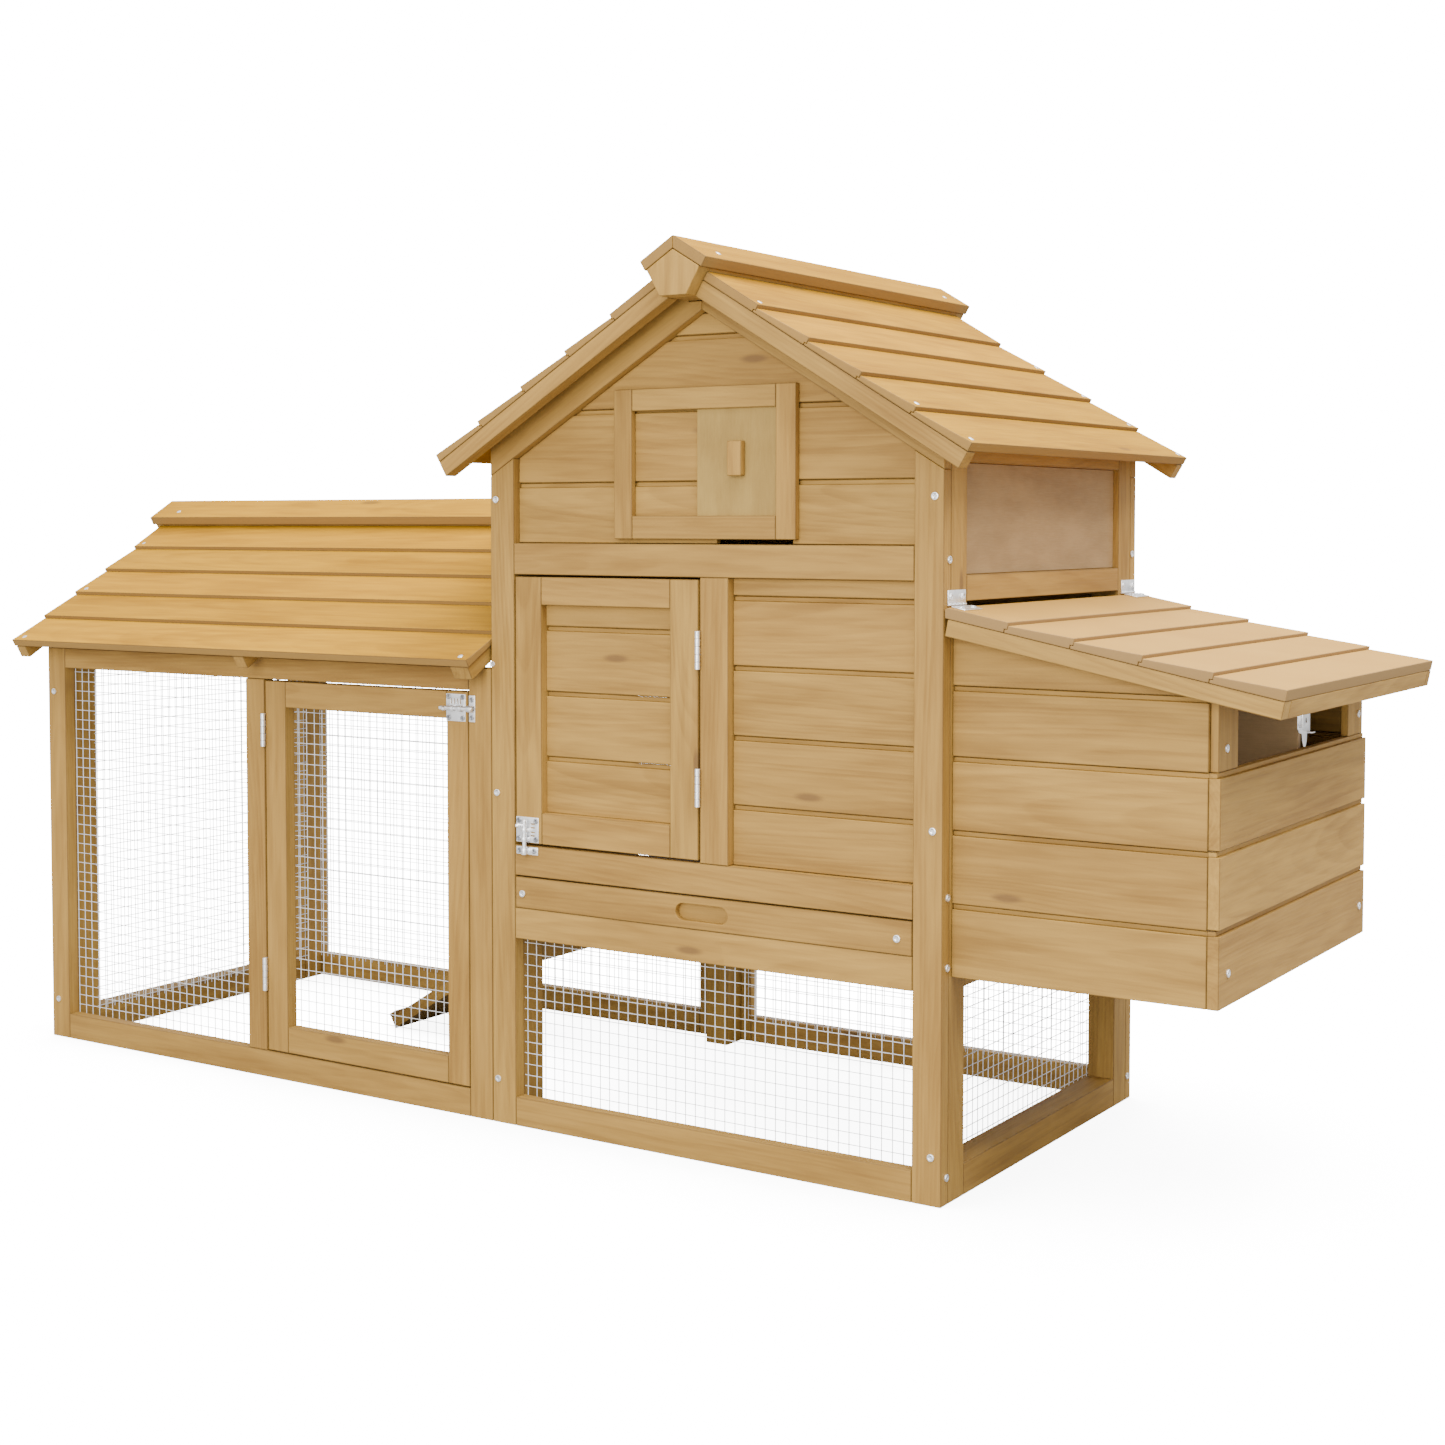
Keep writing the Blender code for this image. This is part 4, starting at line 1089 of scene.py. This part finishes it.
def wrapped(name, node, front_end, side, level, frames, stile, half, chance):
    """Mesh over a base's front, and inside the frames of one side and the back."""
    (x, _), (front, back), (low, high) = limits(node)
    piece = Piece(name, WIRE, "galvanised_wire", nodes=[node])
    corner = Vector((x, front + half, low))
    wire_panel(piece, corner, AXIS_X * (front_end - x), AXIS_Z * (high - low), AXIS_Y, chance)
    up = AXIS_Z * (level[1] - level[0])
    low, high = inset(limits(frames[0])[1], SIDE_STILE - WIRE_LAP)
    wire_panel(piece, Vector((side, low, level[0])), AXIS_Y * (high - low), up, AXIS_X, chance)
    low, high = inset(limits(frames[1])[0], stile - WIRE_LAP)
    corner = Vector((low, back - half, level[0]))
    wire_panel(piece, corner, AXIS_X * (high - low), up, AXIS_Y, chance)
    piece.finish()


def wire_meshes():
    chance = random.Random(MESH_SEED)
    across, depth, height = limits("run_door_mesh")
    half = (depth[1] - depth[0]) / 2
    end = limits("house_mesh")[0][1]
    frames = ("house_right_frame", "house_back_frame")
    wrapped("house_wire", "house_mesh", end, end - half, HOUSE_WIRE_LEVEL, frames, BACK_STILE, half, chance)
    start = limits("run_mesh")[0][0] + half
    end = RUN_MID_STILE[1] - WIRE_LAP
    frames = ("run_left_frame", "run_back_frame")
    wrapped("run_wire", "run_mesh", end, start, RUN_WIRE_LEVEL, frames, RUN_POST, half, chance)
    piece = Piece("run_gate_wire", WIRE, "galvanised_wire", "run_door", ["run_door_mesh"])
    corner = Vector((across[0], sum(depth) / 2, height[0]))
    width, up = AXIS_X * (across[1] - across[0]), AXIS_Z * (height[1] - height[0])
    wire_panel(piece, corner, width, up, AXIS_Y, chance)
    piece.finish()


# ---------------------------------------------------------------- metalwork

SHEET = 0.0012
SCREW = 0.0040
SMALL_SCREW = 0.0031
NAIL = 0.0032
HINGE_KNUCKLES = 5
HINGE_LEAF = 0.0165
BOLT_ROD = 0.0025
ROD_END = ((0.0, 0.0), (0.7 * BOLT_ROD, 0.0), (BOLT_ROD, 0.35 * BOLT_ROD))
BOLT_OUT = 0.006
STRAP_INNER = 0.0029
STRAP_OUTER = 0.0038
# A screw's head against its radius: its height, the cross's floor, reach and half width, and its foot
HEAD_HEIGHT = 0.45
CROSS_FLOOR = HEAD_HEIGHT * 0.35
CROSS_REACH = 0.55
CROSS_HALF = 0.13
HEAD_FOOT = 0.96
NAIL_PROFILE = ((0.0, -0.001), (NAIL, -0.001), (NAIL, 0.0003), (NAIL * 0.8, 0.0007), (0.0, 0.0009))
KNUCKLE_GAP = 0.00015
KNUCKLE_RIM = (0.86, 0.0004)
HINGE_THIN = (0.0004, 0.0009)
HINGE_TAB = (0.0004, 0.0035)

# A bolt's plate and keeper: along the bolt from the door's edge, then across it
BOLT_PLATE = ((-0.0317, -0.0027), (-0.0155, 0.0165))
PLATE_SLOTS = (-0.0248, -0.0205, -0.0152, -0.0112)
PLATE_SLOT = (0.0014, (0.0048, 0.0112))
PLATE_STRAPS = ((-0.0195, -0.0155), (-0.0090, -0.0045))
PLATE_SCREWS = ((-0.0276, -0.0115), (-0.0276, 0.0130), (-0.0066, -0.0115), (-0.0066, 0.0130))
KEEPER = ((0.0025, 0.0115), (-0.0154, 0.0155))
KEEPER_STRAP = (0.0035, 0.0108)
KEEPER_SCREWS = ((0.0070, -0.0104), (0.0070, 0.0105))
HANDLE = (
    (0.0, 0.0), (0.0016, 0.0), (0.0016, 0.0045), (0.0024, 0.0050), (0.0027, 0.0070), (0.0024, 0.0092),
    (0.0014, 0.0103), (0.0, 0.0105),
)
HOUSE_HANDLE_UP = 0.3510
HOUSE_HANDLE_LEAN = 1.2
RUN_HANDLE_ACROSS = -0.0605

# The lid's hinges: their ends, a barrel's radius, rim and chamfer, and heights over the lid's upper edge
LID_HINGES = {"front": (0.0080, 0.0477), "back": (0.4610, 0.5010)}
LID_BARREL = (0.0013, 0.0011, 0.0003)
BARREL_UP = 0.0016
WALL_LEAF = (0.0022, 0.0165)
WALL_LEAF_SCREW = 0.0100
LID_LEAF = (0.0042, 0.0200)
LID_LEAF_UP = (0.0002, 0.0002 + SHEET)
LID_LEAF_SCREW = 0.0125
LEAF_SCREWS_IN = 0.0065

LATCH_FOOT = 0.4770
LATCH_MIDDLE = 0.2719
LATCH_HOLE = (0.0028, 16, (0.2763, 0.4905))
LATCH_SLOTS = (((0.2650, 0.2668), (0.4700, 0.4765)), ((0.2585, 0.2602), (0.4860, 0.5120)))

# Screws in the faces of the posts: across and up
FRONT_SCREWS = (
    (0.0083, 0.7223), (0.0083, 0.3851), (0.0083, 0.0517), (0.5700, 0.7226), (0.5692, 0.3844),
    (0.5688, 0.0505), (-0.7528, 0.4692), (-0.7517, 0.0516),
)
SIDE_SCREWS = ((0.0117, 0.6587), (0.0117, 0.3159), (0.0117, 0.2443), (0.0117, 0.0287))
NEST_SCREWS = ((0.0450, 0.2660), (0.0450, 0.4815), (0.4730, 0.2666), (0.4730, 0.4825))
LONE_SCREW = (0.0025, 0.5333)
TRAY_SCREWS = ((0.0446, 0.2710), (0.5290, 0.2710))
# Boards that are nailed at their near end, and at their far end
HOUSE_NAILS = ((0, 1, 4), (0, 1, 2, 3))
RUN_NAILS = ((0, 2, 4), (0,))
# How far in from a roof's ends its nails are, how far up their boards, and how far they stray
NAILS_IN = (0.015, 0.013)
NAIL_UP = 0.0085
NAIL_STRAY = (0.001, 0.003)
CAP_NAILS_IN = 0.045
CAP_NAIL_UP = 0.016


def plated(name, body="coop", nodes=(), material=ZINC):
    return Piece(name, material, "zinc_plate", body, nodes)


def turned(profile, steps=20):
    """A shape of revolution round Z, from radii and heights that start and end on the axis."""
    shape = bmesh.new()
    rings = []
    for radius, height in profile:
        spots = [(0.0, 0.0)] if radius == 0 else circle(radius, steps)
        rings.append([shape.verts.new((*spot, height)) for spot in spots])
    for near, far in zip(rings[:-1], rings[1:]):
        for index in range(steps):
            after = (index + 1) % steps
            corners = [near[index % len(near)], near[after % len(near)]]
            corners += [far[after % len(far)], far[index % len(far)]]
            shape.faces.new(list(dict.fromkeys(corners)))
    bmesh.ops.recalc_face_normals(shape, faces=shape.faces[:])
    return shape


def aimed(spot, out):
    """The turn and move that take Z to point out of a surface at a spot."""
    return Matrix.Translation(spot) @ out.to_track_quat("Z", "Y").to_matrix().to_4x4()


def screw(piece, spot, out, radius=SCREW):
    """A pan head with a cross recess."""
    matrix = aimed(spot, out)
    arm, half, floor_height = radius * CROSS_REACH, radius * CROSS_HALF, radius * CROSS_FLOOR
    quarter = [(arm, -half), (arm, half), (half, half)]
    cross = []
    for _ in range(4):
        cross += quarter
        quarter = [(-up, across) for across, up in quarter]
    foot = cut_out(circle(radius * HEAD_FOOT), (0.0, floor_height), "level", bevel=0)
    piece.gather(foot, matrix)
    span = (floor_height, radius * HEAD_HEIGHT)
    piece.gather(cut_out(circle(radius), span, "level", [cross], half), matrix)


def sheet(piece, loop, span, facing, holes=(), matrix=None, bevel=0.0003):
    piece.gather(cut_out(loop, span, facing, holes, bevel), matrix)


def screws():
    piece = plated("post_screws")
    depth = limits("house_front_post_left")[1]
    back = limits("house_back_frame")[1][1]
    for across, up in FRONT_SCREWS:
        screw(piece, Vector((across, depth[0], up)), -AXIS_Y)
        screw(piece, Vector((across, back, up)), AXIS_Y)
    screw(piece, Vector((LONE_SCREW[0], depth[0], LONE_SCREW[1])), -AXIS_Y, SMALL_SCREW)
    width = limits("house_front_post_right")[0][1]
    for across, up in SIDE_SCREWS:
        screw(piece, Vector((width, across, up)), AXIS_X)
        screw(piece, Vector((width, back - across, up)), AXIS_X)
    piece.finish()
    piece = plated("nest_screws")
    end = limits("nest_end_wall")[0][1]
    for across, up in NEST_SCREWS:
        screw(piece, Vector((end - (REBATE_DEEP if up > NEST_LEDGE else 0.0), across, up)), AXIS_X)
    piece.finish()
    piece = plated("tray_screws", "tray")
    face = limits("tray_front")[1][0]
    for across, up in TRAY_SCREWS:
        screw(piece, Vector((across, face, up)), -AXIS_Y)
    piece.finish()


def roof_nails(roof, chosen):
    """Nails through the ends of some roof boards, and of both cap boards."""
    start, stop = limits(roof.nodes[0])[1 - roof.axis]
    name = roof.prefix + "_roof_nails"
    chance = random.Random(name)
    piece = plated(name)
    for lean in (1, -1):
        spots = []
        for end, boards in zip((start + NAILS_IN[0], stop - NAILS_IN[1]), chosen):
            for board in boards:
                low = NAIL_UP + chance.uniform(-NAIL_STRAY[0], NAIL_STRAY[0])
                spot = roof.spot(board * roof.pitch + low, -ROOF_STEP * low / roof.pitch)
                spots.append((spot, end + chance.uniform(-NAIL_STRAY[1], NAIL_STRAY[1])))
        cap = on_slope(roof.cap_edge(), roof.angle, CAP_NAIL_UP, 0.0)
        spots += [(cap, end) for end in inset(roof.cap[1 - roof.axis], CAP_NAILS_IN)]
        for spot, end in spots:
            [(side, height)] = roof.sided([spot], lean)
            place = roof.across * side + AXIS_Z * height + roof.through * end
            piece.gather(turned(NAIL_PROFILE, 16), aimed(place, roof.face(lean)))
    piece.finish()


def knuckles(piece, matrix, length, radius, rim, chamfer, chosen=range(HINGE_KNUCKLES)):
    """Some of a hinge's knuckles, on an axis along the matrix's Z."""
    each = length / HINGE_KNUCKLES
    for index in chosen:
        low, high = inset((index * each, (index + 1) * each), KNUCKLE_GAP)
        profile = [(0.0, low), (rim, low), (radius, low + chamfer)]
        profile += [(radius, high - chamfer), (rim, high), (0.0, high)]
        piece.gather(turned(profile), matrix)


def door_hinge(node, body, side):
    """A butt hinge whose leaves lie in the joint between a door and its post."""
    across, depth, height = limits(node)
    radius = (across[1] - across[0]) / 2
    axis = across[0] + radius
    matrix = Matrix.Translation((axis, sum(depth) / 2, height[0]))
    length = height[1] - height[0]
    each = length / HINGE_KNUCKLES
    for rider, way, chosen in ((body, side, (1, 3)), ("coop", -side, (0, 2, 4))):
        piece = plated(node + "_" + rider + "_leaf", rider, [node] if rider == body else [])
        knuckles(piece, matrix, length, radius, radius * KNUCKLE_RIM[0], KNUCKLE_RIM[1], chosen)
        thin = sorted(axis + way * edge for edge in HINGE_THIN)
        for index in chosen:
            low = height[0] + index * each
            sheet(piece, rectangle(HINGE_TAB, inset((low, low + each), GAP)), thin, "side", bevel=0)
        sheet(piece, rectangle((HINGE_TAB[1], HINGE_LEAF), height), thin, "side", bevel=0)
        piece.finish()


def strap(piece, span, matrix):
    """A strip of sheet bridged over a bolt, across its length."""
    outer, inner = (
        [(across, BOLT_OUT + up) for across, up in circle(radius)[:13]]
        for radius in (STRAP_OUTER, STRAP_INNER)
    )
    loop = [(STRAP_OUTER, SHEET), *outer, (-STRAP_OUTER, SHEET)]
    loop += [(-STRAP_INNER, SHEET), *inner[::-1], (STRAP_INNER, SHEET)]
    sheet(piece, loop, span, "side", matrix=matrix, bevel=0.0002)


def barrel_bolt(name, door, origin, along, across, tail, tip, knob, lean):
    """A bolt on a door's plate with two straps, and its keeper. Local X runs along the bolt."""
    out = along.cross(across)
    matrix = Matrix.Translation(origin) @ Matrix((along, across, out)).transposed().to_4x4()
    plate = plated(name + "_plate", door)
    slots = [rectangle((near, near + PLATE_SLOT[0]), PLATE_SLOT[1]) for near in PLATE_SLOTS]
    sheet(plate, rectangle(*BOLT_PLATE), (0.0, SHEET), "level", slots, matrix)
    for span in PLATE_STRAPS:
        strap(plate, span, matrix)
    plate.finish()
    # The small screw heads take the darker zinc, a painted shade for their rims and recesses.
    heads = plated(name + "_plate_screws", door, material=SHADED_ZINC)
    for spot in PLATE_SCREWS:
        screw(heads, matrix @ Vector((*spot, SHEET)), out, SMALL_SCREW)
    heads.finish()
    keeper = plated(name + "_keeper")
    sheet(keeper, rectangle(*KEEPER), (0.0, SHEET), "level", (), matrix)
    strap(keeper, KEEPER_STRAP, matrix)
    keeper.finish()
    heads = plated(name + "_keeper_screws", material=SHADED_ZINC)
    for spot in KEEPER_SCREWS:
        screw(heads, matrix @ Vector((*spot, SHEET)), out, SMALL_SCREW)
    heads.finish()
    rod = plated(name + "_rod", name, [name])
    length = tip - tail
    profile = [*ROD_END, *((radius, length - height) for radius, height in reversed(ROD_END))]
    axis = matrix @ Vector((tail, 0.0, BOLT_OUT))
    rod.gather(turned(profile), aimed(axis, along))
    foot = matrix @ Vector((knob, 0.0, BOLT_OUT))
    rod.gather(turned(HANDLE), aimed(foot, (out - across * lean).normalized()))
    rod.finish()


def lid_hinge(name, width):
    """An angle hinge on the house's side wall, with its other leaf on the nest's lid."""
    wall = limits("house_front_post_right")[0][1]
    level = limits("nest_lid_boards")[2][1]
    holes = inset(width, LEAF_SCREWS_IN)
    piece = plated(name + "_wall_leaf")
    leaf = rectangle(width, (level + WALL_LEAF[0], level + WALL_LEAF[1]))
    sheet(piece, leaf, (wall, wall + SHEET), "side")
    for across in holes:
        screw(piece, Vector((wall + SHEET, across, level + WALL_LEAF_SCREW)), AXIS_X, SMALL_SCREW)
    barrel = Vector((wall + LID_BARREL[0], width[0], level + BARREL_UP))
    turn = Matrix.Translation(barrel) @ Matrix.Rotation(-math.pi / 2, 4, "X")
    knuckles(piece, turn, width[1] - width[0], *LID_BARREL)
    piece.finish()
    piece = plated(name + "_lid_leaf", "nest_lid")
    sheet(piece, [lid_point(*spot) for spot in rectangle(LID_LEAF, LID_LEAF_UP)], width, "front")
    side, up = lid_point(LID_LEAF_SCREW, LID_LEAF_UP[1])
    for across in holes:
        screw(piece, Vector((side, across, up)), LID_OUT, SMALL_SCREW)
    piece.finish()


def latch():
    """A hasp cut from sheet, with a small flange at its side and another at its foot."""
    (face, out), (left, right), (tip, top) = limits("nest_latch")
    foot, middle = LATCH_FOOT, LATCH_MIDDLE
    loop = [
        (left, top), (left, foot + 0.006), (left + 0.004, foot + 0.002), (middle - 0.0085, foot),
        (middle - 0.0060, tip + 0.006), (middle - 0.0030, tip + 0.0008), (middle, tip),
        (middle + 0.0030, tip + 0.0008), (middle + 0.0060, tip + 0.006), (middle + 0.0075, foot),
        (right, foot), (right, top),
    ]
    holes = [circle(*LATCH_HOLE), *(rectangle(*slot) for slot in LATCH_SLOTS)]
    piece = plated("latch_plate", "nest_latch", ["nest_latch"])
    start = face + SHEET
    sheet(piece, loop, (face, start), "side", holes)
    flange = rectangle((start, out + 0.0045), (foot + 0.008, top - 0.010))
    sheet(piece, flange, (left, left + SHEET), "front")
    flange = rectangle((start, out + 0.0054), (foot, foot + SHEET))
    sheet(piece, flange, (right - 0.0100, right), "front")
    piece.finish()


def hardware():
    screws()
    roof_nails(HOUSE_ROOF, HOUSE_NAILS)
    roof_nails(RUN_ROOF, RUN_NAILS)
    for place in ("lower", "upper"):
        door_hinge("house_door_hinge_" + place, "house_door", -1)
        door_hinge("run_door_hinge_" + place, "run_door", 1)
    across, _, up = limits("house_bolt")
    edge = limits("house_door_frame")[2][0]
    origin = Vector((sum(across) / 2, 0.0, edge))
    ends = (edge - up[1], edge - up[0], edge - HOUSE_HANDLE_UP)
    barrel_bolt("house_bolt", "house_door", origin, -AXIS_Z, AXIS_X, *ends, HOUSE_HANDLE_LEAN)
    across, _, up = limits("run_bolt")
    edge = limits("run_door_frame")[0][1]
    origin = Vector((edge, 0.0, sum(up) / 2))
    ends = (across[0] - edge, across[1] - edge, RUN_HANDLE_ACROSS - edge)
    barrel_bolt("run_bolt", "run_door", origin, AXIS_X, AXIS_Z, *ends, 0.0)
    for side, width in LID_HINGES.items():
        lid_hinge(side + "_lid_hinge", width)
    latch()


# ---------------------------------------------------------------- floor, light and camera

CAMERA_SPOT = Vector((1.4837, -2.1740, 0.6957))
CAMERA_YAW = math.radians(33.27)
CAMERA_PITCH = math.radians(-2.69)
CAMERA_LENS = 53.23
CAMERA_SHIFT = (0.0142, -0.0687)
FLOOR_SIZE = 60.0
FLOOR_DROP = 0.0004
FLOOR_COLOUR = (0.30, 0.296, 0.292, 1.0)
# The floor's glow for the camera inside its painted contact shadow, and in the open, which is also the
# backdrop's
FLOOR_SHADOW_GLOW = 9.0
FLOOR_BRIGHT = 17.0
SHADE_REACH = 0.35
WORLD_LIGHT = 1.35
WHITE = (1.0, 1.0, 1.0, 1.0)
# Each lamp's place, target, width and power
LAMPS = {
    "overhead": ((1.3, -0.2, 4.0), (0.0, 0.0, 0.4), 4.0, 560.0),
    "front": ((0.8, -4.4, 1.3), (0.0, 0.0, 0.4), 3.0, 235.0),
    "nest": ((0.66, -0.19, 0.47), (0.72, 0.05, 0.42), 0.12, 0.15),
}


def floor():
    """A pale floor that darkens softly where the coop stands on it: a painted shadow, where ambient
    occlusion dims the glow that the camera sees.
    """
    shape = bmesh.new()
    bmesh.ops.create_grid(shape, x_segments=2, y_segments=2, size=FLOOR_SIZE / 2)
    mesh = bpy.data.meshes.new("floor")
    shape.to_mesh(mesh)
    shape.free()
    made = bpy.data.objects.new("floor", mesh)
    made.location = (0.0, 0.0, -FLOOR_DROP)
    bpy.context.scene.collection.objects.link(made)
    shader = Shader("pale_floor")
    shader.surface.inputs["Base Color"].default_value = FLOOR_COLOUR
    shader.surface.inputs["Roughness"].default_value = 0.9
    # Painted shadow: ambient occlusion near the coop dims the floor's glow for camera rays.
    painted_shadow_ao = shader.node("AmbientOcclusion", {"Distance": SHADE_REACH}, samples=12)
    lit = shader.rise(painted_shadow_ao.outputs["AO"], 0.25, 1.0, FLOOR_SHADOW_GLOW, FLOOR_BRIGHT)
    glow = shader.node("Emission", {"Strength": lit})
    seen = shader.node("LightPath").outputs["Is Camera Ray"]
    both = shader.node("MixShader", {0: seen, 1: shader.surface.outputs[0], 2: glow.outputs[0]})
    shader.tree.links.new(both.outputs[0], shader.tree.nodes["Material Output"].inputs["Surface"])
    mesh.materials.append(shader.material)


def world():
    """Light from all round, and a bright backdrop that only the camera sees."""
    made = bpy.data.worlds.new("studio")
    bpy.context.scene.world = made
    made.use_nodes = True
    nodes, links = made.node_tree.nodes, made.node_tree.links
    nodes.clear()
    path = nodes.new("ShaderNodeLightPath")
    both = nodes.new("ShaderNodeMixShader")
    out = nodes.new("ShaderNodeOutputWorld")
    links.new(path.outputs["Is Camera Ray"], both.inputs[0])
    for socket, strength in ((1, WORLD_LIGHT), (2, FLOOR_BRIGHT)):
        background = nodes.new("ShaderNodeBackground")
        background.inputs["Color"].default_value = WHITE
        background.inputs["Strength"].default_value = strength
        links.new(background.outputs[0], both.inputs[socket])
    links.new(both.outputs[0], out.inputs[0])


def lamp(name, spot, target, size, power):
    data = bpy.data.lights.new(name, "AREA")
    data.shape = "SQUARE"
    data.size = size
    data.energy = power
    made = bpy.data.objects.new(name, data)
    made.location = spot
    made.rotation_euler = (Vector(target) - Vector(spot)).to_track_quat("-Z", "Y").to_euler()
    made.visible_camera = False
    bpy.context.scene.collection.objects.link(made)


def camera():
    data = bpy.data.cameras.new("camera")
    data.lens = CAMERA_LENS
    data.sensor_width = 36.0
    data.shift_x, data.shift_y = CAMERA_SHIFT
    made = bpy.data.objects.new("camera", data)
    made.location = CAMERA_SPOT
    made.rotation_euler = (math.pi / 2 + CAMERA_PITCH, 0.0, CAMERA_YAW)
    bpy.context.scene.collection.objects.link(made)
    bpy.context.scene.camera = made


camera()
world()
for name, settings in LAMPS.items():
    lamp(name, *settings)
floor()
house_front()
house_sides()
house_back()
house_roof()
run_frames()
run_roof()
ramp()
doors()
window()
tray()
nest_walls()
nest_lid()
wire_meshes()
hardware()
